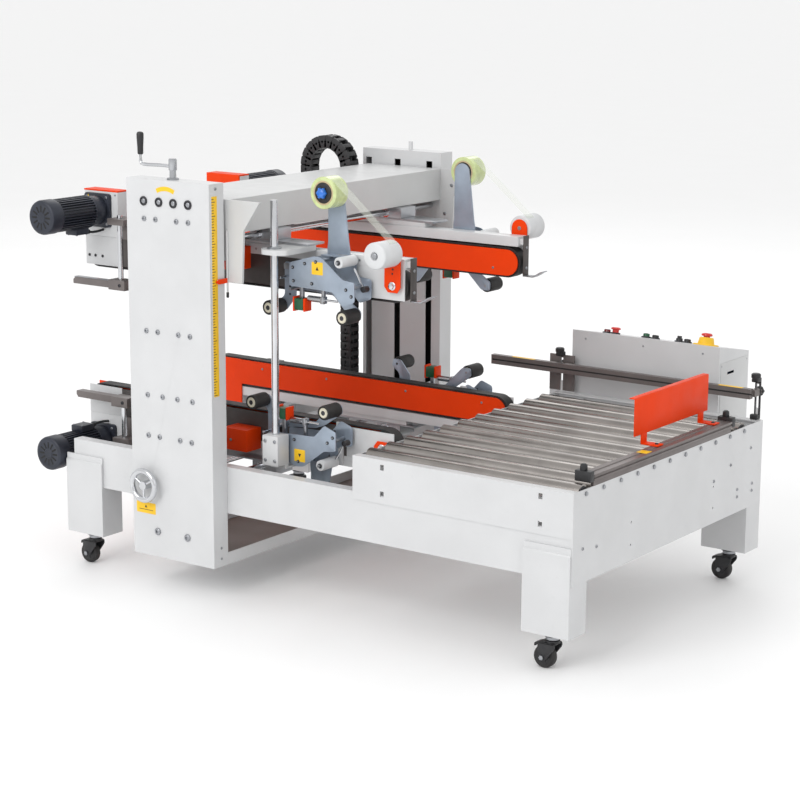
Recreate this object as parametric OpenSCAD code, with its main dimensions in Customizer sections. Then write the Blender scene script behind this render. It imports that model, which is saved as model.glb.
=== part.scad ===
// Corner and edge carton sealer with a roller infeed table.
// X runs along the machine, with the infeed table at +X. Y runs across it, with the handwheel at -Y.
// Z is up. The origin is on the floor, in the middle of the machine's outline.

/* [Machine] */
// Overall length, from the drive boxes to the bolt heads on the table's end panel
machine_len = 2440; // [2436:1:2446]
// Width of the roller table and of the frame
table_w = 1362; // [1340:1:1380]
// Distance from the outline's middle to the machine's own centre plane, towards -Y
mid_shift = 81; // [75:1:90]
// Height of the table's side panels above the floor
table_h = 630; // [620:1:640]
// Height of the two columns above the floor
column_h = 1542; // [1530:1:1560]

/* [Roller table] */
// Length of the table's side panels
table_len = 900; // [880:1:920]
// Number of rollers
roller_count = 11; // [11:1:11]
// Distance between roller axes
roller_pitch = 113.7; // [112:0.1:115]
// Radius of a roller
roller_r = 30; // [24:1:32]
// Distance from the near panel to the first roller axis
roller_first = 74; // [70:1:80]

/* [Sealing units] */
// Distance between the inner faces of the near and far belts
belt_gap = 670; // [660:1:680]
// Height of the lower belts' carrying run above the floor
lower_belt_z = 656; // [650:1:660]
// Height of the upper belts' pressing run above the floor
upper_belt_z = 1125; // [1100:1:1130]
// Width of a drive belt
belt_w = 50; // [40:1:52]
// Distance that the lower taping heads sit behind the upper ones
head_stagger = 85; // [80:1:90]
// Radius of a full tape roll
tape_r = 58; // [50:1:60]

/* [Hidden] */

$fn = 48;

paint_white = [0.90, 0.90, 0.89];
paint_orange = [0.93, 0.28, 0.08];
steel = [0.72, 0.73, 0.75];
zinc = [0.66, 0.70, 0.76];
dark_grey = [0.36, 0.34, 0.35];
black = [0.08, 0.08, 0.09];
motor_blue = [0.10, 0.12, 0.18];
tape_green = [0.78, 0.83, 0.62];

// Thickness of the folded sheet metal and the gap between parts that move past each other
sheet = 4;
run_gap = 0.3;
bore_gap = 0.08;

// The machine is laid out with the end panel at end_x, then moved so that the outline is centred
end_x = 1242;
bolt_head = 5;
box_x = end_x + bolt_head - machine_len;
outline_x = end_x + bolt_head - machine_len / 2;
mid_y = -mid_shift;
near_y = mid_y - table_w / 2;
far_y = mid_y + table_w / 2;

// Frame rails
rail_low = 325;
rail_high = 500;
rail_depth = 45;
rail_left = -1008;
table_x = end_x - table_len;

// Legs and casters
leg_w = 185;
leg_left = -1041;
leg_d = 110;
leg_low = 130;
leg_top = 442;
leg_proud = 12;
leg_round = 30;
wheel_r = 40;
wheel_w = 32;
caster_trail = 28;
fork_in = 22;

// Columns
column_x = -630;
column_w = 395;
column_d = 80;
column_low = 130;
slot_x = [-615, -468, -309];
slot_w = 30;
slot_low = 530;
slot_high = 1505;
lift_shaft_x = [-508, -368];
lift_shaft_r = 12;
crank_x = -438;
crank_y = near_y - 40;

// Cross beam
beam_x = -588;
beam_w = 365;
beam_low = 1355;
beam_h = 125;
beam_end_gap = 12;

// Guide shafts of the sealing units
width_shaft_x = [-560, -270];
width_shaft_r = 12;
width_shaft_w = 205;
width_screw_x = -548;
width_screw_z = 405;
width_screw_r = 9;

// Sealing unit: v runs outwards from the belt's inner face, w runs away from the carton
cover_t = 5;
belt_v = 8;
belt_t = 5;
pulley_r = 53;
drive_x = box_x + 66;
plate_v = 60;
housing_high = 160;
box_w = 178;
box_h = 300;
motor_x = box_x + 80;
motor_up = 226;
motor_r = 67;
motor_len = 320;
inner_v = 76;
outer_v = 176;
rod_v = 221;
rod_at = -106;

// Table
panel_low = 473;
end_low = 312;
roller_z = table_h - 15;
roller_left = 362;
roller_right = end_x - 12;
axle_r = 6;

// Control console
console_x = 382;
console_w = 652;
console_y = 638;
console_d = 246;
console_low = 520;
console_high = 877;
console_back = 830;
console_slope = atan((console_high - console_back) / console_d);

start_at = 264;
stop_at = 124;
estop_at = 528;
stem_r = 13;

// Long guide bar and its posts
post_x = [300, 1204];
post_w = [112, 22];
post_high = 776;
post_t = 6;
bar_left = 62;
bar_y = far_y - 62;
bar_z = 716;
bar_size = 38;

// Pusher
pusher_y = near_y + 120;
pusher_len = 985;
pusher_x = end_x - 50;
pusher_w = 54;
pusher_z = 648;
pusher_h = 22;
plate_x = end_x - 90;

function roller_y(i) = near_y + roller_first + roller_pitch * i;

// The lower units are shorter at the infeed end, and their taping heads sit further back
function cut(level) = level == "upper" ? 0 : 45;
function head_dx(level) = level == "upper" ? 0 : -head_stagger;
function idler_x(level) = 310 - cut(level);
function hub_w(level) = level == "upper" ? 382 : 318;

// ---------- shared shapes ----------

// Children moved from the layout to the machine's own origin
module machine() {
    translate([-outline_x, 0, 0])
        children();
}

// Box given by its lowest and highest corners
module block(low, high) {
    translate(low)
        cube(high - low);
}

// Rod along Y from one y to another
module rod_y(x, z, y0, y1, r) {
    translate([x, y1, z])
        rotate([90, 0, 0])
            cylinder(h = y1 - y0, r = r);
}

// Rod along X from one x to another
module rod_x(y, z, x0, x1, r) {
    translate([x0, y, z])
        rotate([0, 90, 0])
            cylinder(h = x1 - x0, r = r);
}

// Flat plate in the XZ plane, drawn as an outline of [x, z] points
module plate_xz(y, t, points) {
    translate([0, y + t, 0])
        rotate([90, 0, 0])
            linear_extrude(t)
                polygon(points);
}

// Copy of the children on the near side and on the far side of the centre plane
module both_sides() {
    children();
    translate([0, 2 * mid_y, 0])
        mirror([0, 1, 0])
            children();
}

// Children given for the near side, on side "near" or "far"
module on_side(side) {
    if (side == "near")
        children();
    else
        translate([0, 2 * mid_y, 0])
            mirror([0, 1, 0])
                children();
}

// Children in a unit's own axes: X, v outwards from the belt, w away from the carton
module unit_place(side, level) {
    level_z = level == "upper" ? upper_belt_z : lower_belt_z;
    up = level == "upper" ? 0 : 1;
    machine()
        on_side(side)
            translate([0, mid_y - belt_gap / 2, level_z])
                mirror([0, 0, up])
                    mirror([0, 1, 0])
                        children();
}

// ---------- base ----------

// Channel rail along X, open towards the machine's middle
module side_rail() {
    difference() {
        block([rail_left, near_y, rail_low], [end_x - sheet, near_y + rail_depth, rail_high]);
        block([rail_left - 1, near_y + sheet, rail_low + sheet],
              [end_x, near_y + rail_depth + 1, rail_high - sheet]);
        rod_y(width_screw_x, width_screw_z, near_y - 1, near_y + rail_depth, width_screw_r + 3);
    }
}

// Leg box with a rounded front top edge, closed by a caster plate at its foot
module leg(x) {
    front = near_y - leg_proud;
    difference() {
        union() {
            block([x, front, leg_low], [x + leg_w, near_y - leg_proud + leg_d, rail_low]);
            block([x, front, rail_low], [x + leg_w, near_y, leg_top - leg_round]);
            block([x, near_y - leg_proud + leg_proud / 2, leg_top - leg_round],
                  [x + leg_w, near_y, leg_top]);
            intersection() {
                rod_x(near_y, leg_top - leg_round, x, x + leg_w, leg_proud);
                block([x, front, leg_top - leg_round], [x + leg_w, near_y, leg_top]);
            }
        }
        block([x + sheet, front + sheet, leg_low + 6],
              [x + leg_w - sheet, near_y - leg_proud + leg_d - sheet, rail_low - sheet]);
    }
}

// Trough that ties the feet of the two columns
module tie_trough() {
    foot_x = column_x + column_w;
    difference() {
        block([column_x, near_y, column_low], [foot_x, far_y, column_low + 45]);
        block([column_x + sheet, near_y - 1, column_low + sheet],
              [foot_x - sheet, far_y + 1, column_low + 46]);
    }
}

// Cross members between the rails: left end, under the sealing units and under the table
module cross_members() {
    inner_near = near_y + rail_depth;
    inner_far = far_y - rail_depth;
    for (x = [rail_left, -800, 100, 700, end_x - sheet - 45])
        difference() {
            block([x, inner_near, rail_low], [x + 45, inner_far, rail_low + 90]);
            block([x + sheet, inner_near - 1, rail_low + sheet],
                  [x + 45 - sheet, inner_far + 1, rail_low + 90 - sheet]);
        }
}

module base_frame() {
    machine() color(paint_white) {
        both_sides() {
            side_rail();
            leg(leg_left);
            leg(end_x - sheet - leg_w);
        }
        cross_members();
        tie_trough();
    }
}

// Column shell with three slots on its inner face
module column_shell() {
    front = near_y - column_d;
    difference() {
        block([column_x, front, column_low], [column_x + column_w, near_y, column_h]);
        block([column_x + sheet, front + sheet, column_low + sheet],
              [column_x + column_w - sheet, near_y - sheet, column_h - sheet]);
        for (x = slot_x)
            block([x, near_y - sheet - 1, slot_low], [x + slot_w, near_y + 1, slot_high]);
        rod_y(width_screw_x, width_screw_z, near_y - column_d - 1, near_y + 1, width_screw_r + 3);
    }
}

module near_column() {
    machine() color(paint_white)
        difference() {
            column_shell();
            translate([crank_x, crank_y, column_h - sheet - 1])
                cylinder(h = sheet + 2, r = 12 + bore_gap);
        }
}

module far_column() {
    machine() color(paint_white) {
        on_side("far")
            column_shell();
        translate([-415, far_y + 40, column_h])
            cylinder(h = 34, r = 9);
    }
}

// Polished shafts: two upright in each column, two across the base for the lower units
module guide_shafts() {
    machine() color(steel) {
        both_sides()
            for (x = lift_shaft_x)
                translate([x, near_y - column_d / 2, column_low + sheet])
                    cylinder(h = column_h - column_low - 2 * sheet, r = lift_shaft_r);
        for (x = width_shaft_x)
            rod_y(x, lower_belt_z - width_shaft_w, near_y + sheet, far_y - sheet, width_shaft_r);
    }
}

// ---------- roller table ----------

// Near and far side panels with two slots near each end
module side_panel() {
    difference() {
        block([table_x, near_y - sheet, panel_low], [end_x - sheet, near_y, table_h]);
        for (x = [table_x + 127, end_x - 127])
            for (z = [table_h - 27, table_h - 122])
                block([x - 8, near_y - sheet - 1, z - 10], [x + 8, near_y + 1, z + 10]);
    }
    block([table_x, near_y, table_h - sheet], [end_x - sheet, near_y + 30, table_h]);
}

// Panel across the table that carries one end of every roller axle
module cross_panel(x, low) {
    difference() {
        block([x, near_y - sheet, low], [x + sheet, far_y + sheet, table_h]);
        for (i = [0 : roller_count - 1])
            rod_x(roller_y(i), roller_z, x - 1, x + sheet + 1, axle_r + bore_gap);
        for (dy = [-300, 300])
            for (z = [370, 450])
                rod_x(mid_y + dy, z, x - 1, x + sheet + 1, 4.5);
    }
}

// Slotted post of the long guide bar, bolted to the outside of the far panel
module guide_post(x, w) {
    difference() {
        block([x, far_y + sheet, 560], [x + w, far_y + sheet + post_t, post_high]);
        block([x + w / 2 - 5, far_y + sheet - 1, 672], [x + w / 2 + 5, far_y + sheet + post_t + 1, 765]);
    }
}

module table_frame() {
    machine() color(paint_white) {
        both_sides()
            side_panel();
        cross_panel(end_x - sheet, end_low);
        difference() {
            block([table_x, near_y, rail_high], [table_x + sheet, far_y, roller_z + 12]);
            for (i = [0 : roller_count - 1])
                rod_x(roller_y(i), roller_z, table_x - 1, table_x + sheet + 1, axle_r + bore_gap);
        }
        for (i = [0 : 1])
            guide_post(post_x[i], post_w[i]);
    }
}

// Axles with a hexagon head outside the end panel
module roller_axles() {
    machine() color(steel)
        for (i = [0 : roller_count - 1]) {
            rod_x(roller_y(i), roller_z, table_x - 10, end_x, axle_r);
            translate([end_x, roller_y(i), roller_z])
                rotate([0, 90, 0])
                    cylinder(h = bolt_head, r = 8, $fn = 6);
        }
}

// Tube roller with a bearing bore
module table_roller(i) {
    y = roller_y(i);
    machine() color(steel)
        difference() {
            rod_x(y, roller_z, roller_left, roller_right, roller_r);
            rod_x(y, roller_z, roller_left - 1, roller_right + 1, axle_r + bore_gap);
        }
}

// ---------- columns' moving parts ----------

// Carriage inside a column, with a tongue through each slot
module beam_carriage() {
    low = beam_low - 30;
    high = beam_low + 90;
    back = near_y - column_d / 2;
    difference() {
        union() {
            block([-580, back - 22, low], [-300, back + 22, high]);
            for (x = slot_x)
                block([x + 4, back + 10, low + 20], [x + slot_w - 4, near_y + beam_end_gap, high - 10]);
            block([slot_x[0] + 4, back + 10, low + 20], [-570, back + 22, high - 10]);
        }
        for (x = lift_shaft_x)
            translate([x, back, low - 1])
                cylinder(h = high - low + 2, r = lift_shaft_r + bore_gap);
        translate([crank_x, back, low - 1])
            cylinder(h = high - low + 2, r = 10 + bore_gap);
    }
}

// Bracket at one end of the beam, wider at its top and carrying the shafts of the upper units
module beam_bracket() {
    shaft_z = upper_belt_z + width_shaft_w;
    difference() {
        plate_xz(near_y + beam_end_gap, 10,
                 [[-588, 1480], [-588, 1260], [-239, 1260], [-239, 1183], [-164, 1183],
                  [-156, 1372], [-80, 1480]]);
        for (x = width_shaft_x)
            rod_y(x, shaft_z, near_y, near_y + 40, width_shaft_r - 2);
    }
}

module cross_beam() {
    low_y = near_y + beam_end_gap + 10;
    high_y = far_y - beam_end_gap - 10;
    machine() color(paint_white) {
        difference() {
            block([beam_x, low_y, beam_low], [beam_x + beam_w, high_y, beam_low + beam_h]);
            block([beam_x + sheet, low_y - 1, beam_low - 1],
                  [beam_x + beam_w - sheet, high_y + 1, beam_low + beam_h - sheet]);
        }
        both_sides() {
            beam_bracket();
            beam_carriage();
        }
        block([-231, near_y - 46, 1183], [-227, near_y + beam_end_gap + 10, 1197]);
        translate([-229, near_y + 9, 1128])
            cylinder(h = 243, r = 3.5);
        for (x = width_shaft_x)
            rod_y(x, upper_belt_z + width_shaft_w, low_y, high_y, width_shaft_r);
    }
}

// Cable carrier: an upright run, a half turn and a short run down to the beam
module cable_chain() {
    outer = 135;
    inner = 72;
    arch_x = beam_x - 5 - outer;
    arch_z = 1466;
    chain_y = far_y - 132;
    chain_w = 60;
    machine() color(black) {
        translate([arch_x, chain_y + chain_w, arch_z])
            rotate([90, 0, 0])
                linear_extrude(chain_w)
                    difference() {
                        circle(r = outer);
                        circle(r = inner);
                        translate([-outer, -2 * outer])
                            square([2 * outer, 2 * outer]);
                    }
        block([arch_x + inner, chain_y, 600], [arch_x + outer, chain_y + chain_w, arch_z]);
        block([arch_x - outer, chain_y, 1400], [arch_x - inner, chain_y + chain_w, arch_z]);
        block([arch_x - inner, chain_y, 1400], [arch_x + inner, chain_y + chain_w, 1412]);
        block([beam_x - 5, chain_y, 1420], [beam_x, chain_y + chain_w, 1450]);
    }
}

// Crank on the near column, with the screw that lifts the beam
module crank() {
    arm_z = column_h + 48;
    machine() color(steel) {
        translate([crank_x, crank_y, column_low + sheet + run_gap])
            cylinder(h = column_h - column_low - sheet - 1, r = 10);
        translate([crank_x, crank_y, column_h - sheet - 2])
            cylinder(h = 80, r = 12);
        translate([crank_x, crank_y, column_h + 34])
            cylinder(h = 42, r = 15);
        rod_x(crank_y, arm_z, crank_x - 155, crank_x, 6);
        translate([crank_x - 155, crank_y, arm_z])
            cylinder(h = 40, r = 6);
        translate([crank_x - 155, crank_y, arm_z])
            sphere(r = 6);
        translate([crank_x - 155, crank_y, arm_z + 38])
            cylinder(h = 78, r1 = 10, r2 = 13);
    }
}

// Handwheel on the near column, with the screw that moves the sealing units in and out
module handwheel() {
    wheel_y = -884;
    machine() color(steel) {
        rod_y(width_screw_x, width_screw_z, wheel_y + 14, far_y + 12, width_screw_r);
        rod_y(width_screw_x, width_screw_z, wheel_y + 4, near_y - column_d - 1, 16);
        translate([width_screw_x, wheel_y + 11, width_screw_z])
            rotate([90, 0, 0])
                rotate_extrude()
                    translate([55, 0])
                        circle(r = 11);
        for (a = [90, 210, 330])
            translate([width_screw_x, wheel_y + 12, width_screw_z])
                rotate([0, a, 0])
                    rod_x(0, 0, 10, 50, 5);
    }
}

// ---------- sealing units ----------

// White housing with its drive box, the orange inner cover and the carriage on the guide shafts
module unit_housing(side, level) {
    face = plate_v + sheet;
    end = 358 - cut(level);
    unit_place(side, level) {
        color(paint_orange)
            translate([0, cover_t, 0])
                rotate([90, 0, 0])
                    linear_extrude(cover_t)
                        union() {
                            translate([box_x, 5])
                                square([box_w, box_h]);
                            translate([box_x + box_w, 8])
                                square([idler_x(level) - box_x - box_w, 100]);
                            translate([idler_x(level), 58])
                                circle(r = 50);
                        }
        color(paint_white) {
            difference() {
                union() {
                    block([box_x + box_w, plate_v, 10], [end, face, housing_high]);
                    block([box_x + box_w, cover_t, 122], [end, plate_v, housing_high]);
                    block([box_x + 4, cover_t, 122], [box_x + box_w, face, box_h]);
                    block([box_x + 4, plate_v, 8], [box_x + box_w, face, 122]);
                }
                block([box_x + box_w + 8, cover_t + 4, 126], [end - 4, plate_v - 4, housing_high - 4]);
                block([box_x + 8, cover_t + 4, 130], [box_x + box_w - 4, face - 4, box_h - 4]);
            }
            unit_carriage(level);
        }
        color(steel)
            outfeed_bar(level);
        color(paint_orange)
            block([-420, face, 66], [level == "upper" ? -345 : -305, face + 86, 150]);
        if (level == "upper")
            color(dark_grey)
                unit_guard();
        else
            color(paint_white)
                block([60, face, -4], [88, inner_v - 1, 150]);
        color(steel)
            if (side == "near")
                tie_rod(level);
    }
}

// Plate and bearing blocks that hang the unit on its two guide shafts
module unit_carriage(level) {
    right = level == "upper" ? -40 : -125;
    difference() {
        union() {
            block([-600, 12, 178], [right, 112, 186]);
            block([-500, 12, housing_high], [right - 40, 60, 178]);
            block([width_shaft_x[0] - 32, 12, 186], [width_shaft_x[0] + 32, 112, 228]);
            block([width_shaft_x[1] - 40, 12, 186], [width_shaft_x[1] + 75, 112, 228]);
            if (level == "lower")
                block([-580, 40, 228], [-516, 90, 276]);
        }
        for (x = width_shaft_x)
            rod_y(x, width_shaft_w, 11, 113, width_shaft_r + bore_gap);
        if (level == "lower")
            rod_y(width_screw_x, lower_belt_z - width_screw_z, 39, 91, width_screw_r + bore_gap);
    }
}

// Bent strip at the infeed end that leads the carton on to the belt
module unit_guard() {
    block([374, 18, 8], [378, 52, housing_high + 4]);
    block([357, 18, 130], [374, 52, housing_high - 8]);
    block([377, 18, 8], [420, 52, 12]);
    translate([419, 18, 8.2])
        rotate([0, -28, 0])
            cube([48, 34, 4]);
}

// Hanging rod, block and bar that steady the carton at the outfeed end
module outfeed_bar(level) {
    face = plate_v + sheet;
    low = level == "upper" ? -62 : 24;
    block([-990, face, 120], [-905, face + 6, 210]);
    block([-990, face, 185], [-905, 152, 210]);
    translate([-948, 125, low + 10])
        cylinder(h = 205 - low, r = 11);
    block([-990, 95, low - 4], [-905, 155, low + 36]);
    block([-1190, 105, low], [-990, 140, low + 26]);
}

// Upright chrome rod on the lower unit and its guide on the upper unit
module tie_rod(level) {
    face = plate_v + sheet;
    if (level == "lower") {
        block([rod_at - 36, rod_v - 31, 38], [rod_at + 36, rod_v + 35, 150]);
        block([rod_at - 36, rod_v - 31, 150], [rod_at + 34, rod_v - 11, 168]);
        translate([rod_at, rod_v, -822])
            cylinder(h = 900, r = 14);
        block([rod_at - 40, face - 1, 160], [rod_at + 34, rod_v - 30, 168]);
    }
    else
        difference() {
            block([rod_at - 44, face - 1, 160], [rod_at + 72, rod_v + 49, 178]);
            translate([rod_at, rod_v, 159])
                cylinder(h = 20, r = 14 + run_gap);
        }
}

// Endless flat belt round a drive pulley and an idler
module unit_belt(side, level) {
    unit_place(side, level)
        color(black)
            translate([0, belt_v + belt_w, 0])
                rotate([90, 0, 0])
                    linear_extrude(belt_w)
                        union() {
                            difference() {
                                belt_outline(pulley_r + belt_t, level);
                                belt_outline(pulley_r, level);
                            }
                            for (x = [drive_x, idler_x(level)])
                                translate([x, pulley_r + belt_t])
                                    difference() {
                                        circle(r = pulley_r - 1);
                                        circle(r = pulley_r - 12);
                                    }
                        }
}

// Racetrack round both pulleys
module belt_outline(r, level) {
    axis_w = pulley_r + belt_t;
    for (x = [drive_x, idler_x(level)])
        translate([x, axis_w])
            circle(r = r);
    translate([drive_x, axis_w - r])
        square([idler_x(level) - drive_x, 2 * r]);
}

// Gear motor with its fan cowl, terminal box and the cable held under it
module unit_motor(side, level) {
    face = plate_v + sheet;
    unit_place(side, level)
        color(motor_blue) {
            block([motor_x - 66, face, motor_up - 66], [motor_x + 66, face + 14, motor_up + 66]);
            rod_y(motor_x, motor_up, face + 14, face + 70, 58);
            rod_y(motor_x, motor_up, face + 70, face + 235, 64);
            rod_y(motor_x, motor_up, face + 235, face + motor_len, motor_r);
            block([motor_x - 30, face + 90, motor_up - 84], [motor_x + 30, face + 160, motor_up - 58]);
            rod_y(motor_x + 20, motor_up - 76, face, face + 92, 5);
        }
}

// Side plates of a taping head, their cross rods, the tape arm and the side roller's bracket
module unit_head(side, level) {
    face = plate_v + sheet;
    outline = [[-71, 42], [-71, 126], [43, 158], [75, 154], [169, 84],
               [222, 78], [222, 7], [170, -12], [124, 36]];
    hub = [58, hub_w(level)];
    small = [146, 142];
    roll = [317 - cut(level), 183];
    unit_place(side, level) {
        translate([head_dx(level), 0, 0]) {
            color(zinc)
                for (v = [inner_v, outer_v])
                    plate_xz(v, sheet, outline);
            color(steel) {
                for (p = [[-55, 110], [0, 128], [50, 138], [185, 50]])
                    rod_y(p[0], p[1], inner_v + sheet, outer_v, 7);
                block([-60, face, 60], [140, inner_v, 110]);
                block([25, 71, 118], [112, inner_v, 156]);
            }
            color(zinc)
                plate_xz(65, 6, [[19, 150], [19, 172], [hub[0] - 34, hub[1]], [hub[0] - 18, hub[1] + 26],
                                 [hub[0] + 18, hub[1] + 26], [hub[0] + 34, hub[1]], [119, 172],
                                 [119, 150]]);
            color(steel)
                rod_y(hub[0], hub[1], 70, 149, 12);
            color(paint_white)
                rod_y(small[0], small[1], inner_v + sheet + 2, outer_v - 2, 20);
            color(steel)
                rod_y(small[0], small[1], inner_v + sheet, outer_v, 7);
            color(zinc)
                for (v = [inner_v, outer_v])
                    block([small[0] - 40, v, small[1] - 42], [small[0] + 8, v + sheet, small[1] + 8]);
        }
        color(paint_orange) {
            block([roll[0] - 36, inner_v + 1, 40], [roll[0] + 34, inner_v + 6, roll[1]]);
            rod_y(roll[0], roll[1], inner_v + 1, inner_v + 6, 34);
        }
        color(steel) {
            block([roll[0] - 16, face, 60], [roll[0] + 24, inner_v + 2, 92]);
            rod_y(roll[0], roll[1], inner_v, 194, 8);
        }
        color(paint_white)
            rod_y(roll[0], roll[1], inner_v + 8, 190, 48);
    }
}

// Linked front and rear rollers that press the tape on, carried by one plate inside the head
module unit_arm(side, level) {
    rollers = [[-178, -52], [160, -56]];
    pivot = [-75, 28];
    plate_low = inner_v + 7;
    unit_place(side, level)
        translate([head_dx(level), 0, 0]) {
            color(black)
                for (p = rollers)
                    rod_y(p[0], p[1], 92, 172, 27);
            color(zinc) {
                plate_xz(plate_low, 6, [[-165, 110], [-165, -14], [-196, -40], [-196, -66],
                                        [-160, -66], [-114, -14], [-114, 110]]);
                plate_xz(plate_low, 6, [[-115, 40], [-115, 16], [60, 6], [142, -70], [178, -70],
                                        [178, -42], [104, 12], [60, 28], [-75, 40]]);
            }
            color(steel)
                for (p = concat(rollers, [pivot]))
                    rod_y(p[0], p[1], plate_low, 174, 6);
        }
}

// Tape roll on its core
module unit_tape(side, level) {
    unit_place(side, level)
        color(tape_green)
            difference() {
                rod_y(58 + head_dx(level), hub_w(level), 73, 145, tape_r);
                rod_y(58 + head_dx(level), hub_w(level), 70, 150, 12 + bore_gap);
            }
}

module near_lower_housing() { unit_housing("near", "lower"); }
module near_lower_belt() { unit_belt("near", "lower"); }
module near_lower_motor() { unit_motor("near", "lower"); }
module near_lower_head() { unit_head("near", "lower"); }
module near_lower_arm() { unit_arm("near", "lower"); }
module near_lower_tape() { unit_tape("near", "lower"); }
module far_lower_housing() { unit_housing("far", "lower"); }
module far_lower_belt() { unit_belt("far", "lower"); }
module far_lower_motor() { unit_motor("far", "lower"); }
module far_lower_head() { unit_head("far", "lower"); }
module far_lower_arm() { unit_arm("far", "lower"); }
module far_lower_tape() { unit_tape("far", "lower"); }
module near_upper_housing() { unit_housing("near", "upper"); }
module near_upper_belt() { unit_belt("near", "upper"); }
module near_upper_motor() { unit_motor("near", "upper"); }
module near_upper_head() { unit_head("near", "upper"); }
module near_upper_arm() { unit_arm("near", "upper"); }
module near_upper_tape() { unit_tape("near", "upper"); }
module far_upper_housing() { unit_housing("far", "upper"); }
module far_upper_belt() { unit_belt("far", "upper"); }
module far_upper_motor() { unit_motor("far", "upper"); }
module far_upper_head() { unit_head("far", "upper"); }
module far_upper_arm() { unit_arm("far", "upper"); }
module far_upper_tape() { unit_tape("far", "upper"); }

// ---------- controls, guide and pusher ----------

// Console with a top that slopes down towards the operator's side
module control_console() {
    machine() color(paint_white) {
        difference() {
            translate([console_x + console_w, 0, 0])
                rotate([90, 0, -90])
                    linear_extrude(console_w)
                        polygon([[-console_y, console_low], [-console_y - console_d, console_low],
                                 [-console_y - console_d, console_back], [-console_y, console_high]]);
            block([console_x + sheet, console_y + sheet, console_low + sheet],
                  [console_x + console_w - sheet, console_y + console_d - sheet, console_back - 12]);
        }
        for (x = [console_x + 60, console_x + console_w - 100])
            block([x, far_y + sheet, 540], [x + 40, console_y, 600]);
    }
    color(dark_grey)
        for (x = [start_at, stop_at])
            on_console(x)
                bezel(5, 18);
    color([0.95, 0.8, 0.1])
        on_console(estop_at)
            bezel(30, 24);
}

// Children on the sloping top, at x from the console's left end and in the middle of its depth
module on_console(x) {
    machine()
        translate([console_x + x, console_y + console_d / 2, (console_high + console_back) / 2])
            rotate([-console_slope, 0, 0])
                children();
}

// Ring that guides the stem of a button
module bezel(h, r) {
    difference() {
        translate([0, 0, -1])
            cylinder(h = h + 1, r = r);
        translate([0, 0, 0.5])
            cylinder(h = h + 1, r = stem_r + run_gap);
    }
}

module start_button() {
    color("seagreen")
        on_console(start_at)
            translate([0, 0, 6])
                cylinder(h = 12, r = stem_r);
}

module stop_button() {
    color("red")
        on_console(stop_at)
            translate([0, 0, 6]) {
                cylinder(h = 14, r = stem_r);
                translate([0, 0, 12])
                    cylinder(h = 10, r = 20);
            }
}

module emergency_stop() {
    color("red")
        on_console(estop_at) {
            translate([0, 0, 8])
                cylinder(h = 30, r = stem_r);
            translate([0, 0, 36])
                cylinder(h = 12, r = 22);
        }
}

// Long bar with a stud and a knob through the slot of each post
module guide_bar() {
    machine() color(dark_grey) {
        block([bar_left, bar_y, bar_z], [end_x - 26, bar_y + 24, bar_z + bar_size]);
        for (i = [0 : 1]) {
            x = post_x[i] + post_w[i] / 2;
            stud_z = bar_z + bar_size / 2;
            knob_y = far_y + sheet + post_t + run_gap;
            block([x - 10, bar_y + 24, stud_z - 13], [x + 10, far_y + sheet - run_gap, stud_z + 13]);
            rod_y(x, stud_z, far_y, knob_y + 1, 4);
            rod_y(x, stud_z, knob_y, knob_y + 17, 14);
        }
    }
}

// Cross bar over the table with the upright plate that pushes the carton
module pusher() {
    machine() {
        color(dark_grey) {
            block([pusher_x, pusher_y, pusher_z], [pusher_x + pusher_w, pusher_y + pusher_len,
                                                  pusher_z + pusher_h]);
            for (y = [pusher_y - 26, pusher_y + pusher_len])
                block([pusher_x - 8, y, pusher_z - 2], [pusher_x + pusher_w, y + 26,
                                                       pusher_z + pusher_h + 14]);
        }
        color(black)
            for (y = [pusher_y - 13, pusher_y + pusher_len + 13])
                translate([pusher_x + 20, y, pusher_z + pusher_h + 14])
                    cylinder(h = 22, r = 13);
        color(paint_orange) {
            block([plate_x, pusher_y + 420, 706], [plate_x + 4, pusher_y + 960, 842]);
            block([plate_x - 20, pusher_y + 420, 838], [plate_x, pusher_y + 960, 842]);
            for (y = [pusher_y + 470, pusher_y + 890]) {
                block([plate_x, y, pusher_z + pusher_h], [plate_x + 4, y + 40, 706]);
                block([plate_x, y, pusher_z + pusher_h], [pusher_x + 30, y + 40,
                                                          pusher_z + pusher_h + 5]);
            }
        }
    }
}

// ---------- casters ----------

// Leg centre of a caster, on the near side
function caster_x(end) = end == "right" ? end_x - sheet - leg_w / 2 : leg_left + leg_w / 2;
caster_y = near_y - leg_proud + leg_d / 2;

module caster_fork(side, end) {
    x = caster_x(end);
    machine() color(black)
        on_side(side)
            translate([x, caster_y, 0]) {
                translate([0, 0, leg_low - 12])
                    cylinder(h = 12 - run_gap, r = 32);
                translate([0, 0, 86])
                    cylinder(h = leg_low - 96, r = 24);
                for (y = [-fork_in - 4, fork_in])
                    block([-caster_trail - 16, y, 30], [20, y + 4, 92]);
                block([-caster_trail - 16, -fork_in - 4, 88], [20, fork_in + 4, 94]);
                rod_y(-caster_trail, wheel_r, -fork_in, fork_in, 5);
            }
}

module caster_wheel(side, end) {
    x = caster_x(end);
    machine() color(black)
        on_side(side)
            translate([x, caster_y, 0])
                difference() {
                    rod_y(-caster_trail, wheel_r, -wheel_w / 2, wheel_w / 2, wheel_r);
                    rod_y(-caster_trail, wheel_r, -wheel_w, wheel_w, 5 + bore_gap);
                }
}

module caster_fork_near_right() { caster_fork("near", "right"); }
module caster_fork_near_left() { caster_fork("near", "left"); }
module caster_fork_far_right() { caster_fork("far", "right"); }
module caster_fork_far_left() { caster_fork("far", "left"); }
module caster_wheel_near_right() { caster_wheel("near", "right"); }
module caster_wheel_near_left() { caster_wheel("near", "left"); }
module caster_wheel_far_right() { caster_wheel("far", "right"); }
module caster_wheel_far_left() { caster_wheel("far", "left"); }

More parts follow.
